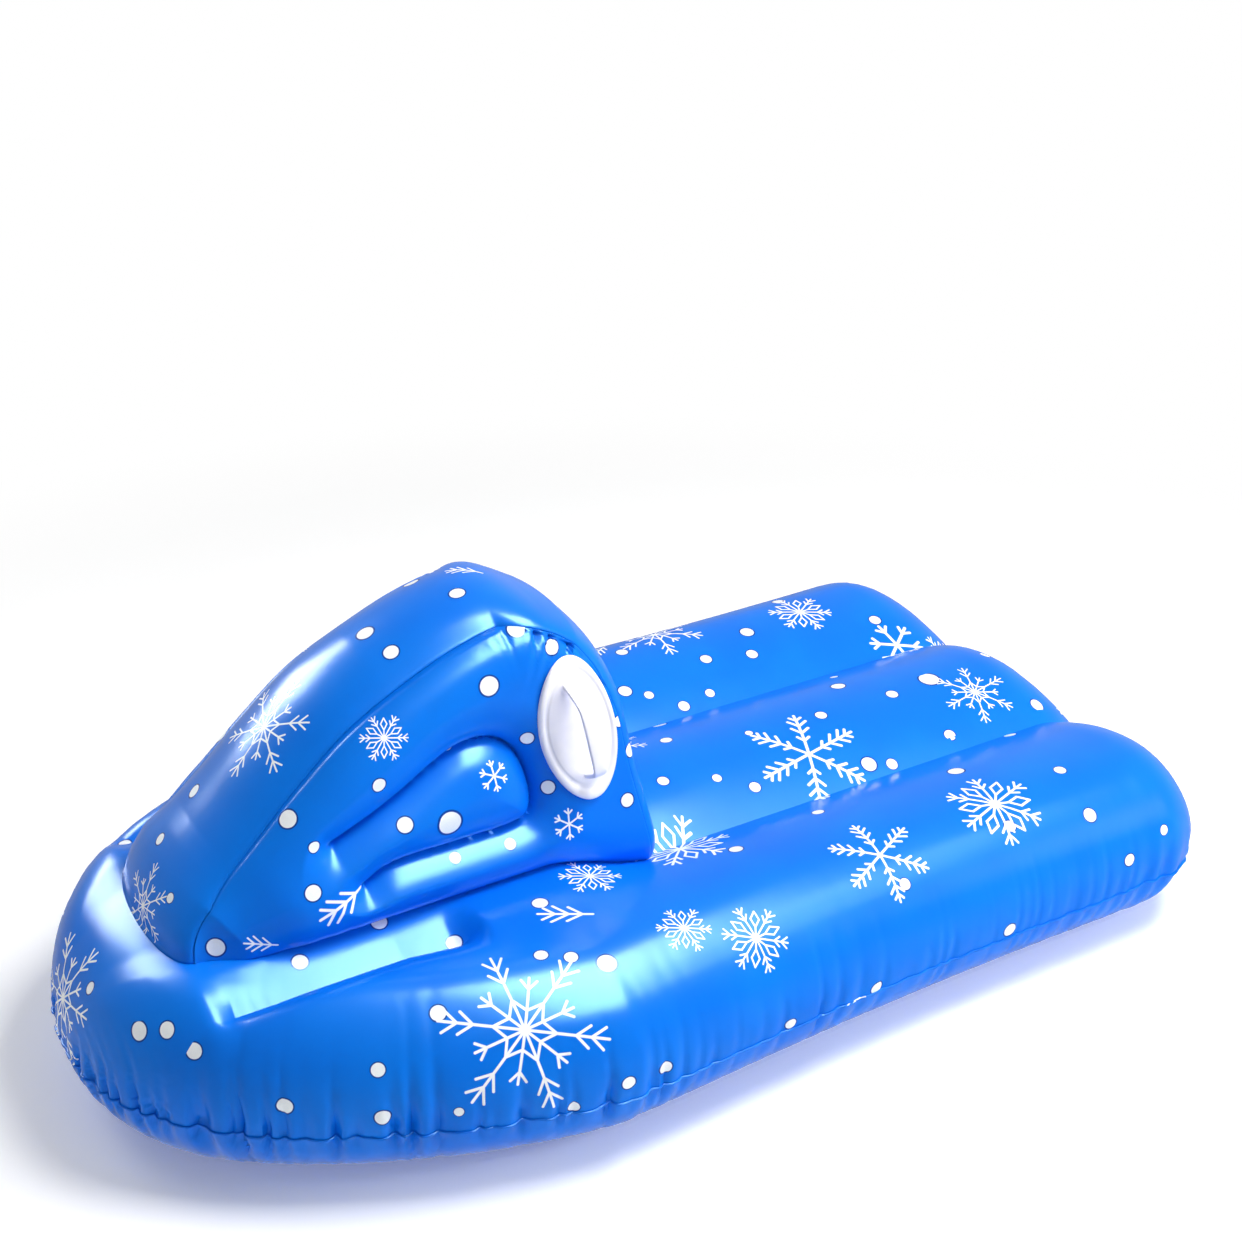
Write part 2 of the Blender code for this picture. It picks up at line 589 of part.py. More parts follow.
def lathe(profile, steps=ROUND_STEPS):
    """Turns a closed profile of (radius, height) points about Z. A point at radius 0 is a pole."""
    profile = np.asarray(profile, float)
    angle = np.linspace(0, 2 * math.pi, steps, endpoint=False)
    points = np.stack([profile[:, None, 0] * np.cos(angle), profile[:, None, 0] * np.sin(angle),
                       profile[:, None, 1] + 0 * angle], -1)
    count = len(profile)
    faces = []
    for i in range(count):
        j = (i + 1) % count
        for k in range(steps):
            m = (k + 1) % steps
            faces.append((i * steps + k, i * steps + m, j * steps + m, j * steps + k))
    return merged(points.reshape(-1, 3), faces)


def box_mesh(low, high):
    """A closed box between two corners."""
    (x0, y0, z0), (x1, y1, z1) = low, high
    points = [(x, y, z) for x in (x0, x1) for y in (y0, y1) for z in (z0, z1)]
    faces = [(0, 1, 3, 2), (4, 6, 7, 5), (0, 4, 5, 1), (2, 3, 7, 6), (0, 2, 6, 4), (1, 5, 7, 3)]
    return points, faces


def join_by_boolean(target, tool, operation):
    step = target.modifiers.new(operation.title(), "BOOLEAN")
    step.operation = operation
    step.object = tool
    step.solver = "EXACT"
    tool.hide_render = True
    tool.display_type = "WIRE"


def valve_axes(centre, outward):
    """The frame of a valve on the centre line: Z out of the film, X level, Y down the slope."""
    z = Vector((outward[0], 0, outward[2])).normalized()
    x = Vector((0, 1, 0))
    y = z.cross(x)
    turn = Matrix((x, y, z)).transposed().to_4x4()
    return Matrix.Translation(Vector(centre)) @ turn


def make_valve(prefix, centre, outward, film, flexible, clear):
    """A push-in valve: flange welded to the film, sliding stem, cap on a strap, inner flap."""
    frame = valve_axes(centre, outward)
    collar_radius = BORE_RADIUS + COLLAR_WALL
    hole_points, hole_faces = lathe([(0, -COLLAR_DEPTH), (collar_radius + GAP, -COLLAR_DEPTH),
                                     (collar_radius + GAP, COLLAR_DEPTH), (0, COLLAR_DEPTH)])
    hole = add_mesh(f"{prefix}_valve_hole", hole_points, hole_faces, clear)
    hole.matrix_world = frame
    join_by_boolean(film, hole, "DIFFERENCE")

    inverse = frame.inverted()
    tree, = surface_of(film)
    top = max((inverse @ hit[0]).z for hit in edge_hits(tree, frame))
    seat = top + GAP
    face = seat + FLANGE_THICKNESS
    points, faces = lathe([(BORE_RADIUS, face), (BORE_RADIUS, -COLLAR_DEPTH),
                           (collar_radius, -COLLAR_DEPTH), (collar_radius, seat),
                           (FLANGE_RADIUS, seat), (FLANGE_RADIUS, face)])
    flange = add_mesh(f"{prefix}_valve_flange", points, faces, flexible)
    flange.matrix_world = frame

    stem_outer = BORE_RADIUS - STEM_CLEARANCE
    stem_inner = stem_outer - STEM_WALL
    rim_low = face + GAP
    rim_high = rim_low + RIM_THICKNESS
    stop_top = -COLLAR_DEPTH - STEM_TRAVEL - GAP
    stop_low = stop_top - STOP_THICKNESS
    points, faces = lathe([(stem_inner, rim_high), (stem_inner, stop_low),
                           (collar_radius, stop_low), (collar_radius, stop_top),
                           (stem_outer, stop_top), (stem_outer, rim_low),
                           (RIM_RADIUS, rim_low), (RIM_RADIUS, rim_high)])
    stem = add_mesh(f"{prefix}_valve_stem", points, faces, flexible)
    stem.matrix_world = frame

    plug_radius = stem_inner - STEM_CLEARANCE
    cap_low = rim_high + GAP
    cap_high = cap_low + CAP_THICKNESS
    hinge_y = RIM_RADIUS + STRAP_REACH
    hinge_z = rim_high + GAP / 2
    points, faces = lathe([(0, cap_high), (0, cap_low - PLUG_DEPTH),
                           (plug_radius - PLUG_TAPER, cap_low - PLUG_DEPTH),
                           (plug_radius, cap_low), (RIM_RADIUS, cap_low), (RIM_RADIUS, cap_high)])
    cap = add_mesh(f"{prefix}_valve_cap", points, faces, clear)
    half = STRAP_WIDTH / 2
    overlap = RIM_RADIUS * 0.8
    strap = add_mesh(f"{prefix}_valve_strap", *box_mesh((-half, -hinge_y + GAP, cap_low),
                                                        (half, -overlap, cap_high)), clear)
    join_by_boolean(cap, strap, "UNION")
    lug = add_mesh(f"{prefix}_valve_lug", *box_mesh((-half, -hinge_y - GAP, rim_low),
                                                    (half, -overlap, rim_high)), clear)
    join_by_boolean(stem, lug, "UNION")
    lug.matrix_world = frame
    hinge = Matrix.Translation(Vector((0, -hinge_y, hinge_z)))
    cap.data.transform(hinge.inverted())
    strap.data.transform(hinge.inverted())
    cap.matrix_world = frame @ hinge
    strap.matrix_world = frame @ hinge

    flap_radius = stem_outer - GAP
    flap_high = stop_low - GAP
    points, faces = lathe([(0, flap_high), (0, flap_high - FLAP_THICKNESS),
                           (flap_radius, flap_high - FLAP_THICKNESS), (flap_radius, flap_high)])
    flap = add_mesh(f"{prefix}_valve_flap", points, faces, clear)
    flap_hinge = Matrix.Translation(Vector((0, -flap_radius, flap_high)))
    flap.data.transform(flap_hinge.inverted())
    flap.matrix_world = frame @ flap_hinge
    return flange


def edge_hits(tree, frame):
    """Where the film lies under the flange, sampled round its rim and inside it."""
    down = -frame.to_3x3().col[2]
    hits = []
    for share in (0.5, 0.75, 1):
        for k in range(ROUND_STEPS):
            angle = 2 * math.pi * k / ROUND_STEPS
            radius = FLANGE_RADIUS * share
            start = frame @ Vector((radius * math.cos(angle), radius * math.sin(angle),
                                    COLLAR_DEPTH))
            hit = tree.ray_cast(start, down, 2 * COLLAR_DEPTH)
            if hit[0] is not None:
                hits.append(hit)
    return hits


def make_handle(name, side, panel, valley, white):
    """Oval plate laid on the flank, with a raised grip bar along its middle."""
    tree, = surface_of(panel)
    edge_x, edge_z = np.transpose(REAR_EDGE_SHARES)
    rear = HOOD_REAR_X + HOOD_LENGTH * np.interp(HANDLE_Z_SHARE, edge_z, edge_x)
    x = rear + HANDLE_MARGIN + HANDLE_WIDTH / 2
    z = valley + HANDLE_Z_SHARE * HOOD_RISE
    outside = WIDTH / 2
    # The plate's own axes: u along its length, w across it, both in the XZ plane
    lean = np.array([math.sin(HANDLE_TILT), math.cos(HANDLE_TILT)])
    across = np.array([math.cos(HANDLE_TILT), -math.sin(HANDLE_TILT)])
    rings, steps = 4, 20

    def oval(rings, steps):
        """Shares across and along the oval, at its centre and on rings round it, and their XZ."""
        angle = np.linspace(0, 2 * math.pi, steps, endpoint=False)
        radii = np.linspace(0, 1, rings + 1)[1:, None]
        spots = np.stack([radii * np.sin(angle), radii * np.cos(angle)], -1).reshape(-1, 2)
        spots = np.vstack([[0, 0], spots])
        flat = np.array([x, z]) + spots[:, :1] * across * HANDLE_WIDTH / 2
        return spots, flat + spots[:, 1:] * lean * HANDLE_LENGTH / 2

    def terms(flat):
        dx, dz = flat[:, 0] - x, flat[:, 1] - z
        return np.column_stack([1 + 0 * dx, dx, dz, dx * dx, dz * dz, dx * dz])

    _, dense = oval(4 * rings, 2 * steps)
    depth = [outside - reach_along(tree, (px, side * outside, pz), (0, -side, 0))
             for px, pz in dense]
    fit, *_ = np.linalg.lstsq(terms(dense), np.array(depth), rcond=None)
    lift = (np.array(depth) - terms(dense) @ fit).max() + HANDLE_LIFT
    spots, flat = oval(rings, steps)
    shape = terms(flat) @ fit + lift
    inner = np.column_stack([flat[:, 0], side * shape, flat[:, 1]])
    rim = np.linalg.norm(spots, axis=1)
    thick = HANDLE_PLATE * np.where(rim > 0.95, 0.6, 1)
    outer = inner + np.column_stack([0 * thick, side * thick, 0 * thick])
    faces = []
    for k in range(steps):
        m = (k + 1) % steps
        faces.append((0, 1 + k, 1 + m))
        for ring in range(rings - 1):
            a = 1 + ring * steps
            faces.append((a + k, a + steps + k, a + steps + m, a + m))
    count = len(spots)
    last = 1 + (rings - 1) * steps
    walls = [(last + k, last + (k + 1) % steps, count + last + (k + 1) % steps, count + last + k)
             for k in range(steps)]
    backs = [tuple(count + i for i in face)[::-1] for face in faces]
    body = backs + faces + [wall[::-1] for wall in walls]
    if side > 0:
        body = [face[::-1] for face in body]
    plate = add_mesh(name, np.vstack([inner, outer]), body, white)

    half, foot, thin = GRIP_LENGTH / 2, GRIP_FOOT, GRIP_THICKNESS
    along = np.array([-half, -half, foot - half, half - foot, half, half,
                      half - foot, half - 1.5 * foot, 1.5 * foot - half, foot - half])
    middle = np.array([[x, z]]) + np.array([[-half], [half]]) * lean
    ends = terms(middle) @ fit + lift
    seat = ends[0] + (ends[1] - ends[0]) * (along + half) / (2 * half)
    low, high = HANDLE_PLATE / 3, HANDLE_PLATE + GRIP_HEIGHT
    height = seat + np.array([low, HANDLE_PLATE + thin / 2, high, high, HANDLE_PLATE + thin / 2,
                              low, low, high - thin, high - thin, low])
    count = len(along)
    points = []
    for w in (-GRIP_WIDTH / 2, GRIP_WIDTH / 2):
        flat = np.array([x, z]) + across * w + along[:, None] * lean
        points.append(np.column_stack([flat[:, 0], side * height, flat[:, 1]]))
    faces = [(0, 1, 9), (1, 2, 8, 9), (2, 3, 7, 8), (3, 4, 6, 7), (4, 5, 6)]
    caps = faces + [tuple(count + i for i in face)[::-1] for face in faces]
    walls = [(i, count + i, count + (i + 1) % count, (i + 1) % count) for i in range(count)]
    body = caps + walls
    if side > 0:
        body = [face[::-1] for face in body]
    bar = add_mesh(f"{name}_bar", np.vstack(points), body, white)
    join_by_boolean(plate, bar, "UNION")
    return plate


def main():
    clear_scene()
    blue = finish("blue_pvc", (0.002, 0.156, 0.87), 0.28)
    web_film = finish("clear_pvc", (0.35, 0.55, 0.9), 0.35)
    white = finish("white_moulding", (0.85, 0.85, 0.88), 0.4)
    flexible = finish("valve_pvc", (0.8, 0.85, 0.9), 0.35)
    deck, _ = make_hull(blue, web_film)
    left, right, ridge, valley = make_hood(blue, web_film, deck)
    make_handle("handle_left", 1, left, valley, white)
    make_handle("handle_right", -1, right, valley, white)

    deck_tree, ridge_tree = surface_of(deck, ridge)
    for prefix, film, tree, height in (
            ("hull", deck, deck_tree, HULL_VALVE_HEIGHT),
            ("hood", ridge, ridge_tree, valley + HOOD_VALVE_SHARE * HOOD_RISE)):
        spot = tree.ray_cast(Vector((-LENGTH, 0, height)), Vector((1, 0, 0)))
        make_valve(prefix, spot[0], spot[1], film, flexible, flexible)


main()
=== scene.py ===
"""Looks of an inflatable snow sled: welded blue film printed with snow, two handles, two valves."""

import json
import math

import bmesh
import bpy
import numpy as np
from mathutils import Matrix, Vector
from mathutils.bvhtree import BVHTree


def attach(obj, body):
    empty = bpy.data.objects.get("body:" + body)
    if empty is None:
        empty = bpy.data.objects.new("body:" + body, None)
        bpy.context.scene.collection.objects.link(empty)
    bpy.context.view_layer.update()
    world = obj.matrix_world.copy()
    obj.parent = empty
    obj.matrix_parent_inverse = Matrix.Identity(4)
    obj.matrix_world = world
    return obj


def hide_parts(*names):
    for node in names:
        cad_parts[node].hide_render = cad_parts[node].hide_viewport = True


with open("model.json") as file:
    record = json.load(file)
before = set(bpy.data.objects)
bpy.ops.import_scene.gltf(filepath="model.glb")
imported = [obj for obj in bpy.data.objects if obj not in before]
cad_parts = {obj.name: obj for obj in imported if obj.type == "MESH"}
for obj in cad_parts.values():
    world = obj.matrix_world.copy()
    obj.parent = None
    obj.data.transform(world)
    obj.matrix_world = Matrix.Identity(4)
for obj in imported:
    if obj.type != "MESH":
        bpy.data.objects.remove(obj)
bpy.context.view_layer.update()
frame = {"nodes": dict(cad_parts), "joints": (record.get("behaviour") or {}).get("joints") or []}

# Camera
# A short telephoto from the left of the bow, a little above the hood.
azimuth, elevation = math.radians(149.31), math.radians(26.19)
distance, shift_left, shift_up = 2.2175, 0.5034, 0.197
right = Vector((math.cos(azimuth), math.sin(azimuth), 0))
back = Vector((math.sin(azimuth) * math.cos(elevation), -math.cos(azimuth) * math.cos(elevation),
               math.sin(elevation)))
up = back.cross(right)
camera = bpy.data.objects.new("camera", bpy.data.cameras.new("camera"))
camera.data.lens = 50.55
camera.data.sensor_width = 36
camera.data.clip_start = 0.05
camera.matrix_world = Matrix((right, up, back)).transposed().to_4x4()
stern_end = Vector((-0.597, 0, 0))
camera.location = stern_end + back * distance - right * shift_left + up * shift_up
bpy.context.scene.collection.objects.link(camera)
bpy.context.scene.camera = camera
bpy.context.scene.view_settings.view_transform = "Standard"

# Studio
# A white floor that keeps the sled's shadow, a white surround, and soft lamps overhead.


def smooth_step(t):
    """Rises from 0 to 1 with level ends: 3t^2 - 2t^3."""
    t = np.clip(t, 0, 1)
    return t * t * (3 - 2 * t)


def feed(tree, slot, value):
    """Links a socket or sets a constant on an input."""
    if isinstance(value, Value):
        tree.links.new(value.socket, slot)
    else:
        slot.default_value = value


class Value:
    """A shader socket. Signs between it and numbers add Math nodes."""

    def __init__(self, tree, socket):
        self.tree, self.socket = tree, socket

    def node(self, kind, settings, *values, output=0):
        """Adds a node: its type, its settings, then values or links for its sockets by name."""
        made = self.tree.nodes.new(kind)
        for name, each in settings.items():
            setattr(made, name, each)
        for name, each in values:
            feed(self.tree, made.inputs[name], each)
        return Value(self.tree, made.outputs[output])

    def math(self, operation, *others):
        return self.node("ShaderNodeMath", {"operation": operation},
                         *enumerate((self, *others)))

    def __add__(self, other):
        return self.math("ADD", other)

    def __sub__(self, other):
        return self.math("SUBTRACT", other)

    def __rsub__(self, other):
        return self.math("MULTIPLY_ADD", -1.0, other)

    def __mul__(self, other):
        return self.math("MULTIPLY", other)

    def __truediv__(self, other):
        return self.math("DIVIDE", other)

    def between(self, low, high, first=0.0, last=1.0):
        """Runs smoothly from first to last as the value goes from low to high."""
        return self.node("ShaderNodeMapRange", {"interpolation_type": "SMOOTHSTEP"},
                         (0, self), (1, low), (2, high), (3, first), (4, last))

    def mix(self, first, last):
        """A colour that goes from first to last as this value goes from 0 to 1."""
        return self.node("ShaderNodeMix", {"data_type": "RGBA"}, (0, self), (6, first), (7, last),
                         output=2)

    __radd__ = __add__
    __rmul__ = __mul__


def new_material(name):
    """A Principled material, its shader node and a Value to start expressions from."""
    made = bpy.data.materials.new(name)
    made.use_nodes = True
    tree = made.node_tree
    shader = tree.nodes["Principled BSDF"]
    return made, shader, Value(tree, shader.outputs[0])


def add_piece(name, points, faces, material, sharp=40):
    """A mesh object from arrays of points and faces."""
    mesh = bpy.data.meshes.new(name)
    mesh.from_pydata(np.asarray(points).reshape(-1, 3).tolist(), [], faces)
    mesh.materials.append(material)
    mesh.shade_smooth()
    mesh.set_sharp_from_angle(angle=math.radians(sharp))
    made = bpy.data.objects.new(name, mesh)
    bpy.context.scene.collection.objects.link(made)
    return made


floor_white, shader, value = new_material("floor_white")
shader.inputs["Base Color"].default_value = (0.93, 0.93, 0.93, 1)
shader.inputs["Roughness"].default_value = 0.8
shader.inputs["Specular IOR Level"].default_value = 0.2
# Far from the sled the floor turns into a plain white glow, for the camera only
reach = value.node("ShaderNodeVectorMath", {"operation": "LENGTH"},
                   (0, value.node("ShaderNodeTexCoord", {}, output=3)), output=1)
seen = value.node("ShaderNodeLightPath", {})
shader.inputs["Emission Color"].default_value = (1, 1, 1, 1)
shader.inputs["Emission Strength"].default_value = 0.16
glow = value.node("ShaderNodeEmission", {}, ("Strength", 1.0))
far = value.node("ShaderNodeMixShader", {}, (0, reach.between(0.8, 1.7) * seen), (1, value),
                 (2, glow))
feed(value.tree, value.tree.nodes["Material Output"].inputs[0], far)
span = 14.0
corners = [(-span, -span, 0), (span, -span, 0), (span, span, 0), (-span, span, 0)]
floor = add_piece("floor", corners, [(0, 1, 2, 3)], floor_white)
floor.visible_glossy = False

world = bpy.data.worlds.new("surround")
bpy.context.scene.world = world
world.use_nodes = True
tree = world.node_tree
background = tree.nodes["Background"]
background.inputs["Color"].default_value = (1, 1, 1, 1)
path = tree.nodes.new("ShaderNodeLightPath")
ambient, in_reflections = 0.29, 0.3
seen = Value(tree, path.outputs["Is Camera Ray"])
seen = seen.math("MAXIMUM", Value(tree, path.outputs["Is Transmission Ray"]))
seen = seen.math("MAXIMUM", Value(tree, path.outputs["Is Glossy Ray"]) * in_reflections)
feed(tree, background.inputs["Strength"], seen * (1 - ambient) + ambient)

# Name, place, size, power in watts, whether it lights the matt or the glossy part of a surface,
# and whether it faces straight down instead of towards the hull
lamps = (("overhead", (-0.75, 0.60, 2.2), (0.8, 0.8), 44, "matt", False),
         ("front_fill", (1.2, -1.3, 1.6), (1.0, 1.0), 9, "matt", False),
         ("near_stern", (-1.7, 1.5, 1.0), (0.7, 0.7), 25, "matt", False),
         ("softbox", (-0.27, 0.76, 1.65), (0.80, 1.80), 235, "glossy", True),
         ("softbox_rear", (-1.10, 0.95, 1.65), (0.70, 1.10), 22, "glossy", True),
         ("far_bow", (0.88, -1.5, 1.02), (0.75, 0.75), 40, "glossy", False))
for name, place, size, power, lights, faces_down in lamps:
    lamp = bpy.data.lights.new(name, "AREA")
    lamp.shape = "RECTANGLE"
    lamp.size, lamp.size_y = size
    lamp.energy = power
    holder = bpy.data.objects.new(name, lamp)
    holder.location = place
    holder.visible_diffuse, holder.visible_glossy = lights == "matt", lights == "glossy"
    if not faces_down:
        aim = Vector((0, 0, 0.1)) - Vector(place)
        holder.rotation_euler = aim.to_track_quat("-Z", "Y").to_euler()
    bpy.context.scene.collection.objects.link(holder)

# Deck film
# The upper sheet of the hull: 0.6 mm of blue PVC, printed with snow, which air presses up into two
# side tubes and a flat middle between two valleys. It is welded to the base all round.
LENGTH, WIDTH = 1.194, 0.68
STERN_X, BOW_X = -LENGTH / 2, LENGTH / 2
CREST, CENTRE, EQUATOR, SIDE = 0.190, 0.192, 0.095, 0.095
SEAM_ANGLE = math.radians(12)
SEAM = EQUATOR * (1 - math.sin(SEAM_ANGLE))
FILM = 0.0006
BOW_LENGTH, BOW_ROUND = 0.43, 0.105
BOW_POWER, BOW_ROOT = 1.36, 0.46
STERN_CORNER, STERN_ROUND = 0.115, 0.095
TIP, WAIST = 0.012, 0.012
SIDE_SHARE, WEB_SHARE = 0.65, 0.55
LIP, SHEET_GAP = 0.0015, 0.0002
WEB_Y, VALLEY_DEPTH = 0.112, 0.034
CREASE_Y, CREASE_REAR, CREASE_FRONT = 0.160, 0.232, 0.512
CREASE_DEPTH, CREASE_FADE, CREASE_REACH = 0.021, 0.035, 0.040
HOOD_BLEND = 0.13
HOOD_REAR, HOOD_LENGTH, HOOD_RISE = 0.018, 0.465, 0.243
FRAME_PIXELS = 1242
MIDDLE, FOCAL = FRAME_PIXELS / 2, camera.data.lens / camera.data.sensor_width * FRAME_PIXELS


def half_width(x):
    """Half the hull's plan: a power curve at the bow, quarter circles at the stern's corners."""
    ahead = np.clip((x - (BOW_X - BOW_LENGTH)) / BOW_LENGTH, 0, 1)
    width = TIP + (WIDTH / 2 - TIP) * (1 - ahead**BOW_POWER) ** BOW_ROOT
    behind = np.clip((STERN_X + STERN_CORNER - x) / STERN_CORNER, 0, 1)
    waist = WAIST * np.sin(math.pi * np.clip((x - STERN_X) / (LENGTH - BOW_LENGTH), 0, 1))
    return width - STERN_CORNER * (1 - np.sqrt(1 - behind**2)) - waist


def end_share(x):
    """A section's height share: a quarter ellipse at each end."""
    behind = np.clip((STERN_X + STERN_ROUND - x) / STERN_ROUND, 0, 1)
    ahead = np.clip((x - (BOW_X - BOW_ROUND)) / BOW_ROUND, 0, 1)
    return np.sqrt(1 - behind**2) * np.sqrt(1 - ahead**2)


def side_reach(x):
    """Plan radius of the side tube: a smooth minimum of its own radius and a share of the width,
    a b / (a^4 + b^4)^(1/4)."""
    most = SIDE_SHARE * half_width(x)
    return most * SIDE / (most**4 + SIDE**4) ** 0.25


def web_line(x):
    """Y of the long valley, drawn in where the bow narrows."""
    return np.minimum(WEB_Y, WEB_SHARE * (half_width(x) - side_reach(x)))


def tube_round(x, angle, turn):
    """Y of the side tube's arc, flattened to a straight run where the ends close to the weld."""
    reach = side_reach(x)[:, None]
    flat = (1 - end_share(x)[:, None]) ** 3
    return half_width(x)[:, None] - reach + reach * (np.cos(angle) * (1 - flat) + (1 - turn) * flat)


def plain_deck(x, place):
    """Deck section. Place 0 to 1 is an arc from the weld to the crest, 1 to 2 a parabola down to
    the valley."""
    reach, web = side_reach(x)[:, None], web_line(x)[:, None]
    crest = half_width(x)[:, None] - reach
    turn = np.clip(place, 0, 1)
    angle = turn * (math.pi / 2 + SEAM_ANGLE) - SEAM_ANGLE
    above = np.where(angle > 0, CREST - EQUATOR, EQUATOR)
    slope = np.clip(place - 1, 0, 1)
    narrow = smooth_step((crest - web) / SIDE * 2)
    rising = smooth_step((HOOD_REAR + HOOD_BLEND - x) / HOOD_BLEND)[:, None]
    depth = VALLEY_DEPTH * narrow * rising
    y = np.where(place < 1, tube_round(x, angle, turn), crest + (web - crest) * slope)
    z = np.where(place < 1, EQUATOR + above * np.sin(angle), CREST - depth * slope**2)
    return y, z


def deck_half(x, outer_cells=24, inner_cells=10, middle_cells=7):
    """Half sections of the deck, with the pinched crease beside the hood as a grid line."""
    reach, web = side_reach(x), web_line(x)
    crest = half_width(x) - reach
    inside = 1 + np.clip((crest - CREASE_Y) / (crest - web), 0, 0.5)
    angle = np.arccos(np.clip((CREASE_Y - crest) / reach, 0, 0.9))
    outside = (angle + SEAM_ANGLE) / (math.pi / 2 + SEAM_ANGLE)
    crease = np.where(crest > CREASE_Y, inside, outside)[:, None]
    share = np.linspace(0, 1, outer_cells + 1)[None]
    rest = np.linspace(0, 1, inner_cells + 1)[None, 1:]
    y, z = plain_deck(x, np.concatenate([share * crease, crease + (2 - crease) * rest], 1))
    line_y, line_z = y[:, [outer_cells]], z[:, [outer_cells]]
    beside = (smooth_step((x - CREASE_REAR) / CREASE_FADE)
              * smooth_step((CREASE_FRONT - x) / CREASE_FADE))[:, None]
    dip = beside * np.clip(line_z - (CREST - CREASE_DEPTH), 0, None)
    outer = (1 - np.clip((y - line_y) / CREASE_REACH, 0, 1)) ** 2
    inner = 1 - np.clip((line_y - y) / (CREASE_Y - WEB_Y), 0, 1)
    z = z - dip * np.where(y > line_y, outer, inner)
    narrow = smooth_step((crest - web) / SIDE * 2)[:, None]
    across = np.linspace(1, 0, middle_cells + 1)[None, 1:]
    top = CREST + narrow * (CENTRE - CREST)
    centre_z = z[:, -1:] + (top - z[:, -1:]) * (1 - across**2)
    y = np.concatenate([y, web[:, None] * across], 1)
    z = np.concatenate([z, centre_z], 1)
    return y, SEAM + (z - SEAM) * end_share(x)[:, None]


def stations(count):
    """X of sections evenly spaced along the plan's outline and the ends' rounding."""
    x = np.linspace(STERN_X, BOW_X, 20001)
    step = np.hypot(np.hypot(np.diff(x), np.diff(half_width(x))), CREST * np.diff(end_share(x)))
    along = np.concatenate([[0], np.cumsum(step)])
    return np.interp(np.linspace(0, along[-1], count), along, x)


def both_sides(x, y, z):
    """A full grid of points from half sections that end on the centre line."""
    y = np.concatenate([y, -y[:, -2::-1]], 1)
    z = np.concatenate([z, z[:, -2::-1]], 1)
    return np.stack([np.broadcast_to(x[:, None], y.shape), y, z], -1)


def grid_faces(rows, columns, flip=False):
    """Quads between the points of a grid."""
    first = np.arange(rows - 1)[:, None] * columns + np.arange(columns - 1)[None]
    corners = np.stack([first, first + columns, first + columns + 1, first + 1], -1)
    corners = corners.reshape(-1, 4)
    return corners[:, ::-1] if flip else corners


def outward(grid, sign):
    """Unit normals of a grid of points: the cross product of its two gradients."""
    normal = sign * np.cross(np.gradient(grid, axis=0), np.gradient(grid, axis=1))
    return normal / np.maximum(np.linalg.norm(normal, axis=-1, keepdims=True), 1e-12)


def border_of(grid):
    """Indices of a grid's outermost points, in order round it."""
    index = np.arange(grid.shape[0] * grid.shape[1]).reshape(grid.shape[:2])
    return np.concatenate([index[:, 0], index[-1, 1:], index[-2::-1, -1], index[0, -2:0:-1]])


def nearest(points, line):
    """For each point the index of the nearest point of a line, and the distance."""
    best = np.full(len(points), np.inf)
    which = np.zeros(len(points), int)
    for start in range(0, len(points), 4000):
        part = slice(start, start + 4000)
        gap = np.linalg.norm(points[part, None] - line[None], axis=-1)
        which[part] = gap.argmin(1)
        best[part] = gap.min(1)
    return which, best


def puckers(along, away, total, count, depth, width, reach, seed):
    """Dents where gathered film meets a weld: each is depth * exp(-(s/width)^2 - away/reach)."""
    rng = np.random.default_rng(seed)
    spots = (np.arange(count) + rng.uniform(0.1, 0.9, count)) * total / count
    depths = depth * rng.uniform(0.25, 1, count) ** 1.5
    widths = width * rng.uniform(0.6, 1.5, count)
    reaches = reach * rng.uniform(0.4, 1.3, count)
    dent = np.zeros(along.shape)
    for spot, deep, wide, far in zip(spots, depths, widths, reaches):
        off = np.abs(along - spot)
        off = np.minimum(off, total - off)
        dent += deep * np.exp(-(off / wide) ** 2 - away / far)
    return dent


def gathered(grid, sign):
    """Presses the puckers of the hull's weld into a grid that ends at it, stronger at the bow."""
    flat = grid.reshape(-1, 3)
    border = flat[border_of(grid)]
    steps = np.linalg.norm(np.roll(border, -1, 0) - border, axis=1)
    where = np.concatenate([[0], np.cumsum(steps[:-1])])
    which, _ = nearest(flat[:, :2], border[:, :2])
    away = np.linalg.norm(flat - border[which], axis=1)
    along, total = where[which], steps.sum()
    least = 0.3
    bow = least + (1 - least) * smooth_step((flat[:, 0] - 0.02) / 0.22)
    stern = smooth_step((STERN_X + 0.25 - flat[:, 0]) / 0.2)
    dent = bow * puckers(along, away, total, count=180, depth=0.0200, width=0.0048, reach=0.025,
                         seed=3)
    dent += stern * puckers(along, away, total, count=110, depth=0.0085, width=0.0085,
                            reach=0.045, seed=5)
    # The weld itself stays flatter than the film beside it
    dent *= 1 - np.exp(-away / 0.006) * 0.6
    moved = flat - dent[:, None] * outward(grid, sign).reshape(-1, 3)
    waves = {"count": 90, "depth": 0.006, "width": 0.011, "reach": 0.012}
    moved[:, 2] += stern * (puckers(along, away, total, seed=8, **waves)
                            - puckers(along, away, total, seed=9, **waves))
    return moved.reshape(grid.shape)


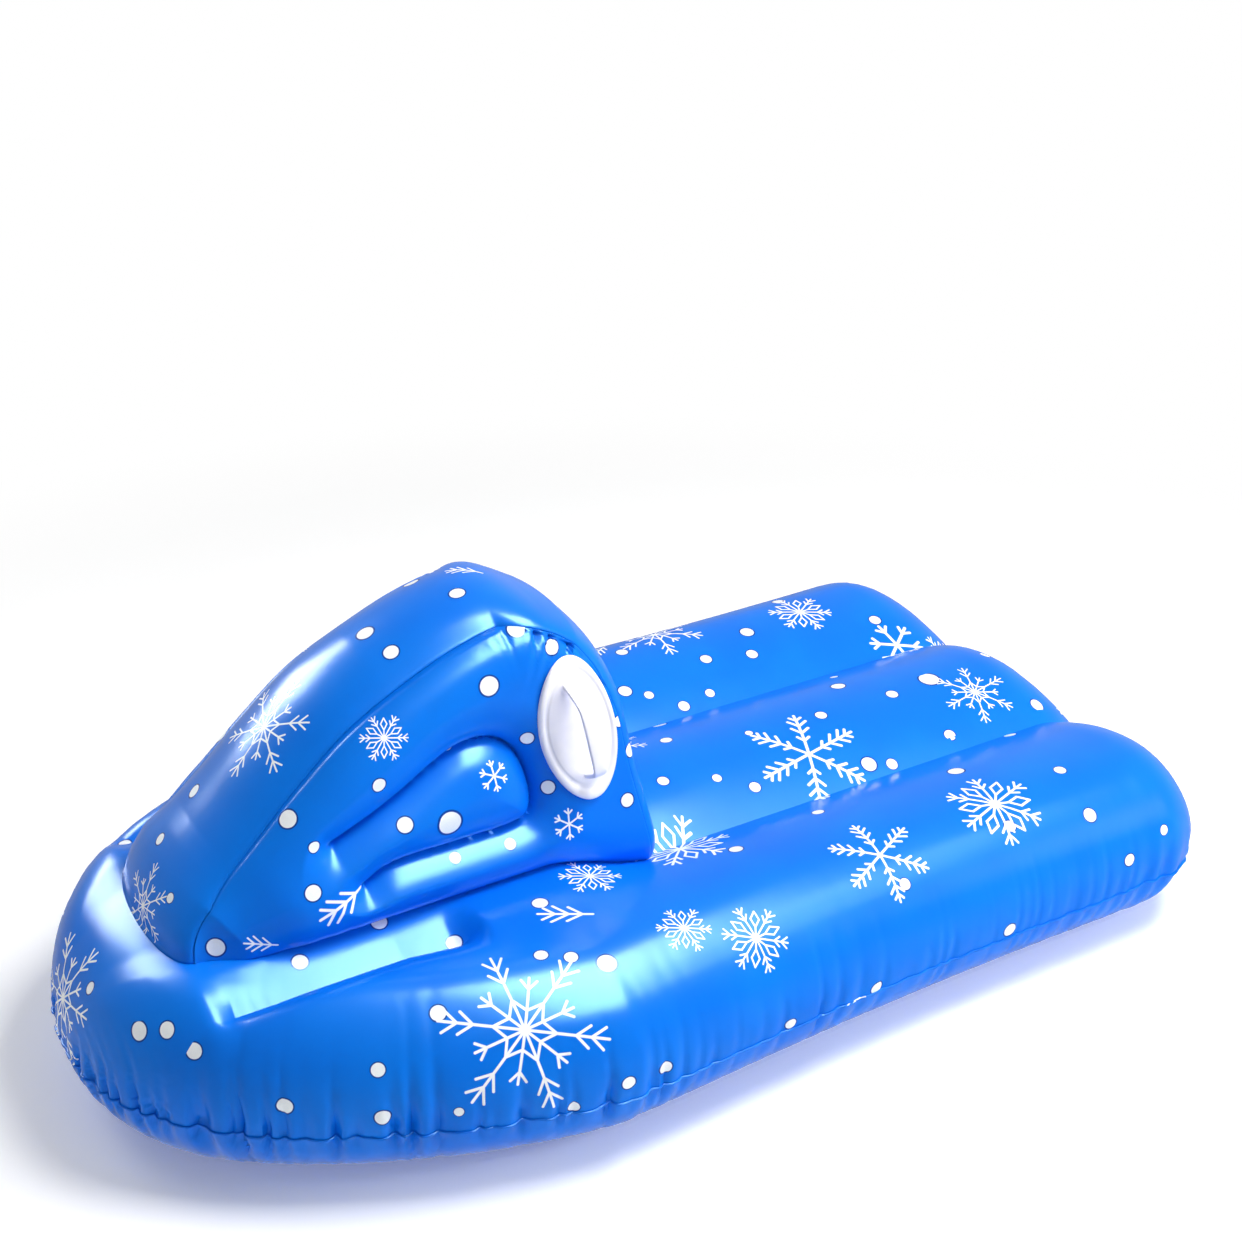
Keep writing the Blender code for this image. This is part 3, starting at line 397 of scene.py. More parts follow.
def with_lip(grid, faces, lip, drop):
    """Adds the flat weld lip outside a grid's border, and shifts the border by drop."""
    loop = border_of(grid)
    points = grid.reshape(-1, 3).copy()
    points[loop, 2] += drop
    border = points[loop]
    ahead = np.roll(border, -1, 0) - border
    behind = border - np.roll(border, 1, 0)
    unit = (ahead / np.linalg.norm(ahead, axis=1, keepdims=True)
            + behind / np.linalg.norm(behind, axis=1, keepdims=True))
    out = np.stack([-unit[:, 1], unit[:, 0], 0 * unit[:, 0]], -1)
    out /= np.linalg.norm(out, axis=1, keepdims=True)
    first = len(points) + np.arange(len(loop))
    quads = np.stack([loop, first, np.roll(first, -1), np.roll(loop, -1)], -1)
    if drop > 0:
        quads = quads[:, ::-1]
    return np.vstack([points, border + lip * out]), np.vstack([faces, quads])


def tangent_axes(normal):
    """Two directions across each normal: the part of X that lies across it, and their product."""
    first = np.array([1.0, 0, 0]) - normal * normal[:, :1]
    first /= np.linalg.norm(first, axis=1, keepdims=True)
    return first, np.cross(normal, first)


def motif_map(piece, name, points, faces, motifs):
    """Writes a UV map of each face's own place in its nearest motif, where 1 is the motif's edge.
    A place is the straight distance from the centre, in the direction seen along its normal. The
    motif's kind adds 10 times itself to U. Faces outside every motif get a place far away."""
    centres, sizes, turns, kinds = motifs[:, :3], *motifs[:, 3:].T
    corners = points[faces]
    normal = np.cross(corners[:, 2] - corners[:, 0], corners[:, 3] - corners[:, 1])
    normal /= np.maximum(np.linalg.norm(normal, axis=1, keepdims=True), 1e-12)
    middle = corners.mean(1)
    gap = np.linalg.norm(middle[:, None] - centres[None], axis=-1)
    seat = normal[gap.argmin(0)]
    least_facing, half_face, margin = 0.15, 0.004, 1.25
    facing = normal @ seat.T > least_facing
    share = np.where(facing, np.maximum(gap - half_face, 0) / sizes, 9)
    best = share.argmin(1)
    mine = share[np.arange(len(faces)), best] < margin
    first, second = tangent_axes(seat)
    cos, sin = np.cos(turns)[:, None], np.sin(turns)[:, None]
    first, second = first * cos + second * sin, second * cos - first * sin
    run = corners - centres[best][:, None]
    place = np.stack([(run * first[best][:, None]).sum(-1),
                      (run * second[best][:, None]).sum(-1)], -1)
    length = np.maximum(np.linalg.norm(place, axis=-1, keepdims=True), 1e-9)
    place *= np.linalg.norm(run, axis=-1, keepdims=True) / length / sizes[best][:, None, None]
    place[..., 0] += 10 * kinds[best][:, None]
    place[~mine] = (-20, -20)
    layer = piece.data.uv_layers.new(name=name)
    layer.data.foreach_set("uv", place.reshape(-1))


def sight_line(across, down):
    """The way from the camera through a point of its frame, given in pixels."""
    return right * (across - MIDDLE) + up * (MIDDLE - down) - back * FOCAL


def seen_print(film, across, down, radius, arm=0, kind=0):
    """A print by its centre and radius in the camera's frame, in pixels, and one arm's direction
    there. It lies where the line of sight first meets the film, with that arm in the film."""
    eye = camera.location
    centre, normal, _, far = film.ray_cast(eye, sight_line(across, down).normalized())
    arm, step = math.radians(arm), 4
    tip = sight_line(across + step * math.cos(arm), down + step * math.sin(arm))
    run = eye + tip * (normal.dot(centre - eye) / normal.dot(tip)) - centre
    first, second = tangent_axes(np.array([normal]))
    return *centre, radius / FOCAL * far, math.atan2(second[0] @ run, first[0] @ run), kind


def unseen_print(film, x, y, z, radius, turn=0, kind=0):
    """A print at the film's nearest point to a place, in millimetres and degrees."""
    centre = film.find_nearest(Vector((x, y, z)) / 1000)[0]
    return *centre, radius / 1000, math.radians(turn), kind


def prints_on(points, faces, seen, unseen=()):
    """Rows of a film's prints: x, y, z and radius in metres, turn in radians, and kind."""
    film = BVHTree.FromPolygons(points.tolist(), faces.tolist())
    return np.array([seen_print(film, *row) for row in seen]
                    + [unseen_print(film, *row) for row in unseen])


def folded(p, q, sectors):
    """The same place turned and mirrored into half of one sector, as (along, off) its axis."""
    half = math.pi / sectors
    angle = q.math("ARCTAN2", p)
    angle = (angle + half).math("FLOORED_MODULO", 2 * half) - half
    angle = angle.math("ABSOLUTE")
    reach = (p * p + q * q).math("SQRT")
    return reach * angle.math("COSINE"), reach * angle.math("SINE")


def stroke(p, q, start, angle, length, best=None):
    """Distance to a straight stroke from a point of the axis at this angle to it, in degrees."""
    cos, sin = math.cos(math.radians(angle)), math.sin(math.radians(angle))
    off = p - start[0]
    side = q - start[1] if start[1] else q
    along = off * cos + side * sin
    across = side * cos - off * sin
    past = along - along.math("MAXIMUM", 0.0).math("MINIMUM", length)
    gap = (across * across + past * past).math("SQRT")
    return gap if best is None else best.math("MINIMUM", gap)


def flake_ink(u, v):
    """Ink of the place's own kind of flake: 1 on its lines and 0 off them. The kind is in U."""
    kind = ((u + 5) / 10).math("FLOOR")
    u = u - kind * 10
    long_p, long_q = folded(u, v, 6)
    # Forked star: six long branches with forks, six short ones between, and a web
    cos, sin = math.cos(math.pi / 6), math.sin(math.pi / 6)
    short_p, short_q = long_p * cos + long_q * sin, long_q * cos - long_p * sin
    short_q = short_q.math("ABSOLUTE")
    star_gap = stroke(long_p, long_q, (0, 0), 0, 0.97)
    for start, length in ((0.58, 0.20), (0.76, 0.20)):
        star_gap = stroke(long_p, long_q, (start, 0), 38, length, star_gap)
    star_gap = stroke(short_p, short_q, (0, 0), 0, 0.60, star_gap)
    star_gap = stroke(short_p, short_q, (0.46, 0), 42, 0.14, star_gap)
    star_gap = stroke(long_p, long_q, (0.36, 0), 148, 0.22, star_gap)
    # Petal flake: lozenges between forked branches
    petal_gap = stroke(long_p, long_q, (0, 0), 0, 0.92)
    petal_gap = stroke(long_p, long_q, (0.52, 0), 40, 0.20, petal_gap)
    petal_gap = stroke(long_p, long_q, (0.72, 0), 40, 0.22, petal_gap)
    petal_gap = stroke(short_p, short_q, (0.30, 0), 27, 0.26, petal_gap)
    petal_gap = stroke(short_p, short_q, (0.76, 0), 153, 0.26, petal_gap)
    petal_gap = stroke(short_p, short_q, (0, 0), 0, 0.30, petal_gap)
    # Fern flake: three pairs of twigs on each branch
    fern_gap = stroke(long_p, long_q, (0, 0), 0, 0.97)
    for start, length in ((0.30, 0.13), (0.48, 0.19), (0.66, 0.20), (0.82, 0.13)):
        fern_gap = stroke(long_p, long_q, (start, 0), 48, length, fern_gap)
    # Small star
    small_gap = stroke(long_p, long_q, (0, 0), 0, 0.92)
    small_gap = stroke(long_p, long_q, (0.60, 0), 45, 0.30, small_gap)
    # Twig: one branch with three forks
    off = v.math("ABSOLUTE")
    twig_gap = stroke(u, off, (-0.85, 0), 0, 1.6)
    for start, length in ((0.45, 0.55), (0.05, 0.62), (-0.35, 0.45)):
        twig_gap = stroke(u, off, (start, 0), 142, length, twig_gap)
    ink = None
    lines = ((star_gap, 0.016), (petal_gap, 0.024), (fern_gap, 0.024), (small_gap, 0.050),
             (twig_gap, 0.044))
    for k, (gap, wide) in enumerate(lines):
        this = gap.between(wide * 0.75, wide * 1.25, 1.0, 0.0)
        this = this * (kind - k).math("ABSOLUTE").math("LESS_THAN", 0.5)
        ink = this if ink is None else ink.math("MAXIMUM", this)
    return ink


def film_material(name, blue, shade, with_print):
    """Semi-gloss PVC film with a slightly uneven colour, and white ink where it is printed."""
    made, shader, value = new_material(name)
    place = value.node("ShaderNodeTexCoord", {}, output=3)
    cloud = value.node("ShaderNodeTexNoise", {}, ("Vector", place), ("Scale", 9.0),
                       ("Detail", 2.0))
    colour = cloud.between(0.3, 0.7).mix(shade, blue)
    rough = cloud * 0.06 + 0.21
    broad = value.node("ShaderNodeTexNoise", {}, ("Vector", place), ("Scale", 13.0),
                       ("Detail", 1.0))
    fine = value.node("ShaderNodeTexNoise", {}, ("Vector", place), ("Scale", 60.0),
                      ("Detail", 3.0))
    grain = value.node("ShaderNodeTexNoise", {}, ("Vector", place), ("Scale", 1400.0),
                       ("Detail", 1.0))
    height = broad * 3.0 + fine * 0.6 + grain * 0.03
    if with_print:
        spot = value.node("ShaderNodeUVMap", {"uv_map": "dots"})
        reach = value.node("ShaderNodeVectorMath", {"operation": "LENGTH"}, (0, spot), output=1)
        # A dark edge round each dot, then the dot's ink
        ring = reach.between(1.12, 1.22, 0.95, 0.0)
        dot = reach.between(0.96, 1.01, 1.0, 0.0)
        flake = value.node("ShaderNodeUVMap", {"uv_map": "flakes"})
        parts = value.node("ShaderNodeSeparateXYZ", {}, (0, flake))
        u, v = Value(value.tree, parts.socket), Value(value.tree, parts.socket.node.outputs[1])
        ink = flake_ink(u, v).math("MAXIMUM", dot)
        colour = ring.mix(colour, (0.0, 0.030, 0.25, 1))
        wear = grain.between(0.25, 0.6).mix((0.90, 0.95, 1.0, 1), (0.97, 0.99, 1.0, 1))
        colour = ink.mix(colour, wear)
        rough = rough + ink * 0.12
        height = height + ink * 0.12
    bump = value.node("ShaderNodeBump", {}, ("Strength", 0.25), ("Distance", 0.0006),
                      ("Height", height))
    for slot, each in (("Base Color", colour), ("Roughness", rough), ("Normal", bump)):
        feed(value.tree, shader.inputs[slot], each)
    shader.inputs["Specular IOR Level"].default_value = 0.32
    shader.inputs["Specular Tint"].default_value = (0.36, 0.70, 1.0, 1)
    return made


BLUE, SHADE = (0.001, 0.186, 0.82, 1), (0.001, 0.163, 0.78, 1)
printed_film = film_material("printed_film", BLUE, SHADE, True)
plain_film = film_material("plain_film", BLUE, SHADE, False)


def add_film(name, points, faces, material):
    """A sheet of film, thickened inwards, that rides on the sled."""
    made = add_piece(name, points, faces.tolist(), material)
    wall = made.modifiers.new("Wall", "SOLIDIFY")
    wall.thickness = FILM
    wall.offset = -1
    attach(made, "sled")
    return made


# Each dot that the camera sees: across, down and radius in its frame
deck_dots = [
    (379, 922, 8), (300, 962, 8), (139, 1031, 9), (167, 1030, 8), (194, 1051, 8),
    (378, 1070, 7), (285, 1106, 8), (383, 1118, 8), (459, 1112, 5), (454, 943, 8),
    (607, 963, 10), (665, 1067, 7), (629, 1083, 7), (736, 849, 7), (717, 778, 5), (755, 787, 6),
    (666, 740, 6), (684, 706, 6), (649, 695, 5), (710, 693, 5), (752, 654, 6), (706, 659, 6),
    (747, 632, 7), (622, 652, 6), (625, 691, 7), (834, 677, 4), (838, 686, 7), (892, 694, 6),
    (929, 679, 10), (1037, 705, 7), (821, 715, 6), (869, 764, 8), (892, 764, 6), (956, 771, 8),
    (1164, 830, 5), (791, 1024, 6), (877, 988, 7), (90, 988, 6), (438, 1013, 8), (541, 955, 7),
    (571, 957, 7), (574, 1106, 6), (540, 903, 8), (749, 733, 4), (1010, 826, 6), (818, 812, 6),
    (905, 884, 6), (1090, 815, 7), (1060, 770, 6), (1130, 860, 6), (1010, 930, 7),
    (875, 620, 6), (985, 655, 5), (1010, 735, 6), (950, 735, 6)]
# Each dot that it doesn't see: x, y, z and radius in millimetres
unseen_deck_dots = [
    (350, -250, 165, 6), (250, -330, 100, 7), (60, -250, 188, 7.9), (150, -335, 95, 6.5),
    (-60, -330, 90, 7.4), (-240, -330, 96, 6), (-380, -318, 140, 7), (-430, -320, 110, 7.9),
    (480, -160, 165, 6.5), (400, -150, 180, 7.4), (-570, -180, 110, 6), (-585, 40, 120, 7),
    (-560, 200, 130, 7.9), (-520, -250, 150, 6.5), (220, -170, 188, 7.4), (330, -200, 180, 6),
    (-10, -230, 190, 7), (-180, -330, 100, 7.9), (40, -330, 110, 6.5), (370, -300, 90, 7.4),
    (500, -200, 100, 6), (-400, -260, 188, 7), (-120, -100, 175, 7.9), (-40, 40, 188, 6.5)]
# Flakes have their turn in degrees and their kind behind the radius
deck_flakes = [
    (525, 1030, 88, 6, 0), (63, 998, 64, 45, 0), (995, 804, 50, 12, 1), (680, 849, 56, -58, 1),
    (590, 876, 34, 0, 1), (756, 938, 38, -60, 1), (684, 928, 30, -60, 1),
    (809, 754, 62, -28, 2), (897, 645, 30, 4, 3), (567, 914, 34, 0, 4), (855, 1000, 16, -20, 4),
    (600, 650, 20, -40, 4), (880, 855, 52, 10, 2), (800, 612, 34, 0, 1), (975, 692, 40, 20, 0)]
unseen_deck_flakes = [
    (-215, -262, 186, 62, 20, 0), (300, -290, 150, 64, 15, 0), (120, -300, 165, 34, 10, 1),
    (10, -300, 165, 48, 25, 2), (200, -240, 190, 30, 0, 3), (420, -240, 140, 36, 20, 3),
    (-550, -90, 140, 40, 12, 1), (-330, -310, 150, 40, 22, 3), (-575, 90, 120, 34, 40, 3),
    (550, -120, 130, 30, 70, 4), (-90, -320, 120, 30, 160, 4), (-470, -300, 130, 36, 5, 2),
    (60, -180, 186, 30, 25, 1), (-30, -60, 190, 44, 20, 0)]
SEAT_RADIUS, SEAT_FADE, COLLAR_RADIUS, COLLAR_DEPTH = 0.020, 0.025, 0.0085, 0.009


def valve_axis(name):
    """A valve's centre on the film, and the way it points: that of its sliding joint, through the
    middle of the frame's own flange, whose collar ends 9 mm under the film."""
    out = next(np.array(joint["axis"]) for joint in frame["joints"]
               if joint["name"] == f"{name}_valve_pull")
    mesh = frame["nodes"][f"{name}_valve_flange"].data
    flange = np.array([vertex.co for vertex in mesh.vertices])
    height = flange @ out
    return flange.mean(0) + (height.min() + COLLAR_DEPTH - height.mean()) * out, out


# Each valve's centre, the way it points, and the height of its flange's seat over the film
VALVES = {"hull": (*valve_axis("hull"), 0.0003), "hood": (*valve_axis("hood"), 0.0008)}


def seated(points, faces, valve):
    """Draws the film flat under a valve's flange, and leaves out the faces inside its collar."""
    centre, out, seat = map(np.array, VALVES[valve])
    height = (points - centre) @ out
    radius = np.linalg.norm(points - centre - height[:, None] * out, axis=1)
    near = np.abs(height) < SEAT_FADE
    pull = near * (1 - smooth_step((radius - SEAT_RADIUS) / SEAT_FADE))
    moved = points + (pull * (seat - SHEET_GAP - height))[:, None] * out
    inside = (near & (radius < COLLAR_RADIUS))[faces].any(1)
    return moved, faces[~inside]


x = stations(520)
grid = gathered(both_sides(x, *deck_half(x)), -1)
faces = grid_faces(*grid.shape[:2], flip=True)
points, faces = seated(*with_lip(grid, faces, LIP, FILM + SHEET_GAP), "hull")
deck = add_film("deck_film", points, faces, printed_film)
motif_map(deck, "dots", points, faces, prints_on(points, faces, deck_dots, unseen_deck_dots))
motif_map(deck, "flakes", points, faces,
          prints_on(points, faces, deck_flakes, unseen_deck_flakes))
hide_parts("hull_deck_sheet")

# Base film
# The lower sheet, of the same blue PVC: it rounds in below the weld and lies flat on the snow, with
# two shallow grooves where the long webs hold it.
GROOVE_HALF, GROOVE_DEPTH = 0.018, 0.012


def base_half(x):
    """Half sections of the base: an arc from the weld to the flat, then a V groove."""
    web = web_line(x)[:, None]
    turn = np.linspace(0, 1, 17)[None]
    angle = -SEAM_ANGLE - turn * (math.pi / 2 - SEAM_ANGLE)
    y = tube_round(x, angle, turn)
    z = EQUATOR * (1 + np.sin(angle)) + 0 * web
    half = np.minimum(GROOVE_HALF, 0.3 * web)
    narrow = smooth_step((half_width(x) - side_reach(x) - web[:, 0]) / SIDE * 2)[:, None]
    spread = np.array([[1, 0.6, 0.25, 0, -0.25, -0.6, -1]])
    inner = np.array([[0.6, 0.3, 0]])
    groove = narrow * GROOVE_DEPTH * (1 - np.abs(spread)) ** 1.5
    flat_y = np.concatenate([web + half * spread, (web - half) * inner], 1)
    flat_z = np.concatenate([groove, 0 * web * inner], 1)
    y = np.concatenate([y, flat_y], 1)
    z = np.concatenate([z, flat_z], 1)
    return y, SEAM + (z - SEAM) * end_share(x)[:, None]


grid = gathered(both_sides(x, *base_half(x)), 1)
grid[..., 2] = np.maximum(grid[..., 2], 0)
points, faces = with_lip(grid, grid_faces(*grid.shape[:2]), LIP, -FILM - SHEET_GAP)
base = add_film("base_film", points, faces, plain_film)
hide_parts("hull_base_sheet")

# Hood flanks
# Two side panels of the same film. Welds along the ridge, the deck and a tongue-shaped line hold
# them in, and air presses the channels between the welds out.
CHANNEL, FLANK_BULGE = 0.050, 0.030
NOSE_TAPER, NOSE_TAPER_LENGTH, RIDGE_TAPER_LENGTH = 0.018, 0.053, 0.19
TOP_Y, WELD_GAP, DECK_GAP = 0.068, 0.0003, 0.0004


def smooth_curve(points, count):
    """Points evenly spaced along a Catmull-Rom curve through the given ones."""
    points = np.asarray(points, float)
    padded = np.vstack([2 * points[0] - points[1], points, 2 * points[-1] - points[-2]])
    t = np.linspace(0, 1, 24, endpoint=False)[:, None]
    a, b, c, d = (padded[k:len(padded) - 3 + k, None] for k in range(4))
    fine = 0.5 * (2 * b + (c - a) * t + (2 * a - 5 * b + 4 * c - d) * t**2
                  + (3 * b - a - 3 * c + d) * t**3)
    fine = np.vstack([fine.reshape(-1, 2), points[-1:]])
    along = np.concatenate([[0], np.cumsum(np.linalg.norm(np.diff(fine, axis=0), axis=1))])
    at = np.linspace(0, along[-1], count)
    return np.stack([np.interp(at, along, fine[:, k]) for k in range(2)], -1)


def on_hood(shares):
    """XZ points from shares of the hood's length, from its rear, and of its rise."""
    shares = np.array(shares)
    return np.stack([HOOD_REAR + HOOD_LENGTH * shares[:, 0], CREST + HOOD_RISE * shares[:, 1]], -1)


def edge_half_width(height):
    """Half the ridge band's width at a share of the hood's rise, along a quarter sine."""
    return WEB_Y - (WEB_Y - TOP_Y) * np.sin(np.clip(height, 0, 1) * math.pi / 2)


def deck_height(x, y):
    """Height of the deck over points: each one's own section, read between two columns."""
    section_y, section_z = deck_half(x)
    k = np.clip((section_y > np.abs(y)[:, None]).sum(1) - 1, 0, section_y.shape[1] - 2)
    row = np.arange(len(x))
    a, b = section_y[row, k], section_y[row, k + 1]
    t = (a - np.abs(y)) / np.maximum(a - b, 1e-9)
    return section_z[row, k] * (1 - t) + section_z[row, k + 1] * t


rear_foot = (0.030, deck_height(np.array([HOOD_REAR + 0.030 * HOOD_LENGTH]),
                                np.array([WEB_Y]))[0] / HOOD_RISE - CREST / HOOD_RISE)
rear_edge = smooth_curve(on_hood([rear_foot, (0.050, 0.1), (0.070, 0.35), (0.085, 0.58),
                                  (0.115, 0.76), (0.16, 0.89)]), 90)
top_edge = smooth_curve(on_hood([(0.16, 0.89), (0.22, 0.965), (0.29, 1.005), (0.383, 0.97),
                                 (0.49, 0.892), (0.642, 0.743), (0.761, 0.557), (0.850, 0.397),
                                 (0.918, 0.278), (0.975, 0.165), (1.004, 0.075),
                                 (1.013, 0)]), 220)
tongue_line = smooth_curve(on_hood([
    (0.72, 0.34), (0.58, 0.45), (0.47, 0.555), (0.41, 0.587), (0.35, 0.57), (0.305, 0.49),
    (0.284, 0.35), (0.295, 0.245), (0.34, 0.212), (0.45, 0.208), (0.60, 0.205),
    (0.67, 0.158)]), 500)
edge_line = np.vstack([rear_edge, top_edge[1:]])
edge_step = np.linalg.norm(np.diff(edge_line, axis=0), axis=1)
edge_along = np.concatenate([[0], np.cumsum(edge_step)])
# How sharply the ridge weld pulls the film in: fully from the top of the hood to above the nose
apex = edge_along[len(rear_edge) + 27]
edge_pull = smooth_step((edge_along - apex + 0.03) / 0.045)
edge_slack = (1 - edge_pull) * (0.05 - 0.041 * smooth_step((edge_line[:, 1] - 0.30) / 0.10))
nose_share = smooth_step((edge_along[-1] - edge_along) / 0.09)


def flank_grid():
    """The left panel: straight lines from foot to top, bent towards the rear edge. Its bulge over
    the flat is a quarter circle of the distance to the nearest weld, up to half a channel."""
    rows, columns = len(rear_edge), len(top_edge)
    foot_x = np.linspace(rear_edge[0, 0], top_edge[-1, 0], columns)
    foot = np.stack([foot_x, deck_height(foot_x, np.full(columns, WEB_Y))], -1)
    rise = np.linspace(0, 1, rows)[None, :, None]
    flat = foot[:, None] * (1 - rise) + top_edge[:, None] * rise
    bend = rear_edge - flat[0]
    flat = flat + bend[None] * (1 - np.linspace(0, 1, columns)[:, None, None]) ** 2
    spots = flat.reshape(-1, 2)
    which, to_tongue = nearest(spots, tongue_line)
    inner = np.zeros(flat.shape[:2], bool)
    inner[1:-1, 1:-1] = True
    # Points beside the tongue's weld move onto it, which keeps its line crisp
    snap = (to_tongue < 0.0009) & inner.reshape(-1)
    spots[snap] = tongue_line[which[snap]]
    to_tongue[snap] = 0
    beside, to_edge = nearest(spots, edge_line)
    to_edge = to_edge + edge_slack[beside]
    _, to_foot = nearest(spots, foot)
    weld = np.minimum(np.minimum(to_edge, to_foot), to_tongue)
    near = 1 - np.clip(weld / CHANNEL, 0, 1)
    height = (spots[:, 1] - CREST) / HOOD_RISE
    to_nose = np.linalg.norm(spots - edge_line[-1], axis=1)
    bulge = FLANK_BULGE * smooth_step((to_nose - 0.02) / 0.09) * np.sqrt(1 - near**2)
    ahead = spots[:, 0] - edge_line[-1, 0]
    along_ridge = smooth_step(ahead / RIDGE_TAPER_LENGTH + 1) * smooth_step(height / 0.3)
    narrow = NOSE_TAPER * np.maximum(smooth_step(ahead / NOSE_TAPER_LENGTH + 1), along_ridge)
    y = edge_half_width(height) - narrow + FILM + WELD_GAP + bulge
    grid = np.stack([spots[:, 0], y, spots[:, 1]], -1).reshape(columns, rows, 3)
    grid[:, 0, 2] = deck_height(grid[:, 0, 0], grid[:, 0, 1]) + DECK_GAP
    grid[-1] = grid[-1, 0]
    return grid


flank_dots = [
    (516, 629, 9), (551, 647, 8), (489, 686, 10), (527, 738, 7), (548, 787, 7), (288, 819, 9),
    (314, 847, 6), (379, 785, 7), (405, 825, 8), (450, 823, 12), (510, 844, 6), (455, 858, 6),
    (216, 947, 9), (627, 800, 7), (313, 893, 8)]
unseen_flank_dots = [(53, 109, 322, 5.6)]
flank_flakes = [
    (384, 738, 26, -1, 1), (494, 776, 17, 13, 3), (569, 824, 17, 23, 3), (345, 903, 34, -41, 4),
    (262, 944, 20, 3, 4)]
left_grid = flank_grid()
# Short wrinkles along the ridge weld, behind the top of the hood
beside, to_edge = nearest(left_grid[..., [0, 2]].reshape(-1, 2), edge_line)
behind_top = (smooth_step((0.20 - edge_line[:, 0]) / 0.05)
              * smooth_step((edge_line[:, 1] - 0.32) / 0.05))
wrinkles = puckers(edge_along[beside], to_edge, edge_along[-1], count=95, depth=0.011,
                   width=0.0035, reach=0.013, seed=12)
wrinkles *= behind_top[beside] * smooth_step(to_edge / 0.004)
crimped_grid = left_grid.copy()
crimped_grid[..., 1] -= wrinkles.reshape(left_grid.shape[:2])
left_points, left_faces = crimped_grid.reshape(-1, 3), grid_faces(*left_grid.shape[:2])
left_dots = prints_on(left_points, left_faces, flank_dots, unseen_flank_dots)
left_flakes = prints_on(left_points, left_faces, flank_flakes)
for side, name in ((1, "left"), (-1, "right")):
    points, faces = left_points * [1, side, 1], left_faces[:, ::side]
    mirrored = np.array([1, side, 1, 1, side, 1])
    flank = add_film(f"flank_film_{name}", points, faces, printed_film)
    motif_map(flank, "dots", points, faces, left_dots * mirrored)
    motif_map(flank, "flakes", points, faces, left_flakes * mirrored)
    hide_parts(f"hood_side_{name}")

# Ridge film
# The band over the hood: up from the seat, over the top and down to the bow, welded to both flanks.
# Air rounds it across, most at the seat.
BULGE_AT = (0, 0.25, 0.38, 0.46, 0.60, 0.75, 0.88, 1)
RIDGE_BULGE = (0.030, 0.026, 0.016, 0.021, 0.027, 0.024, 0.020, 0.024)
REAR_BOW, FRONT_BOW, END_FADE = -0.030, 0.026, 0.060


def ridge_grid(steps):
    """An arch between the flanks' edges: y = half width * cos, bulge outwards * sin^power, with a
    power near 2, a parabola, along the sharp weld and near 1, an ellipse, beyond it."""
    run = np.gradient(edge_line, axis=0)
    run /= np.linalg.norm(run, axis=1)[:, None]
    off = np.stack([-run[:, 1], run[:, 0]], -1)
    half = np.concatenate([left_grid[0, :, 1], left_grid[1:, -1, 1]]) - FILM
    share = edge_along / edge_along[-1]
    bulge = np.interp(share, BULGE_AT, RIDGE_BULGE)
    power = (0.95 + 0.45 * edge_pull * nose_share)[:, None]
    angle = np.linspace(0, math.pi, steps)[None]
    arch = np.sin(angle) ** power
    flat = edge_line[:, None] + (bulge[:, None] * arch)[..., None] * off[:, None]
    grid = np.stack([flat[..., 0], half[:, None] * np.cos(angle), flat[..., 1]], -1)
    # Both ends bow away from the hood and end on the deck, and the film near them follows
    for row, forward in ((0, REAR_BOW), (-1, FRONT_BOW)):
        free = grid[row, :, 2].copy()
        grid[row, :, 0] = edge_line[row, 0] + forward * arch[row]
        grid[row, :, 2] = deck_height(grid[row, :, 0], grid[row, :, 1]) + DECK_GAP
        low = np.clip(1 - (edge_line[:, 1] - edge_line[row, 1]) / END_FADE, 0, 1)
        low = low * (np.abs(share - share[row]) < 0.5)
        low[row] = 0
        grid[:, 1:-1, 2] += low[:, None] * (grid[row, :, 2] - free)[1:-1]
    return grid


ridge_dots = [
    (411, 583, 8), (457, 593, 8), (365, 633, 9), (391, 652, 8), (194, 791, 7), (160, 839, 6),
    (630, 750, 7), (170, 898, 5)]
unseen_ridge_dots = [
    (15, 0, 380, 7), (27, 38, 306, 6), (5, -80, 300, 7), (5, 80, 210, 6), (10, -20, 250, 7),
    (8, -90, 260, 6)]
ridge_flakes = [
    (264, 727, 58, -12, 0), (143, 906, 44, -29, 0), (465, 570, 24, 5, 4)]
unseen_ridge_flakes = [
    (10, -40, 330, 30, 20, 2), (12, 50, 240, 34, 0, 0), (8, -60, 230, 22, 30, 3)]
grid = ridge_grid(61)
points, faces = seated(grid.reshape(-1, 3), grid_faces(*grid.shape[:2], flip=True), "hood")
ridge = add_film("ridge_film", points, faces, printed_film)
motif_map(ridge, "dots", points, faces, prints_on(points, faces, ridge_dots, unseen_ridge_dots))
motif_map(ridge, "flakes", points, faces,
          prints_on(points, faces, ridge_flakes, unseen_ridge_flakes))
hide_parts("hood_ridge_sheet")

# Handles
# Two white PVC mouldings, one on each flank: an oval patch welded to the film, with a raised rim,
# and a strap that arches over its middle.
PATCH_LENGTH, PATCH_WIDTH = 0.146, 0.080
STRAP_WIDTH, STRAP_THICKNESS = 0.014, 0.0048
HANDLE_X, HANDLE_Z = HOOD_REAR + 0.180 * HOOD_LENGTH, CREST + 0.568 * HOOD_RISE
TILT = math.radians(8)


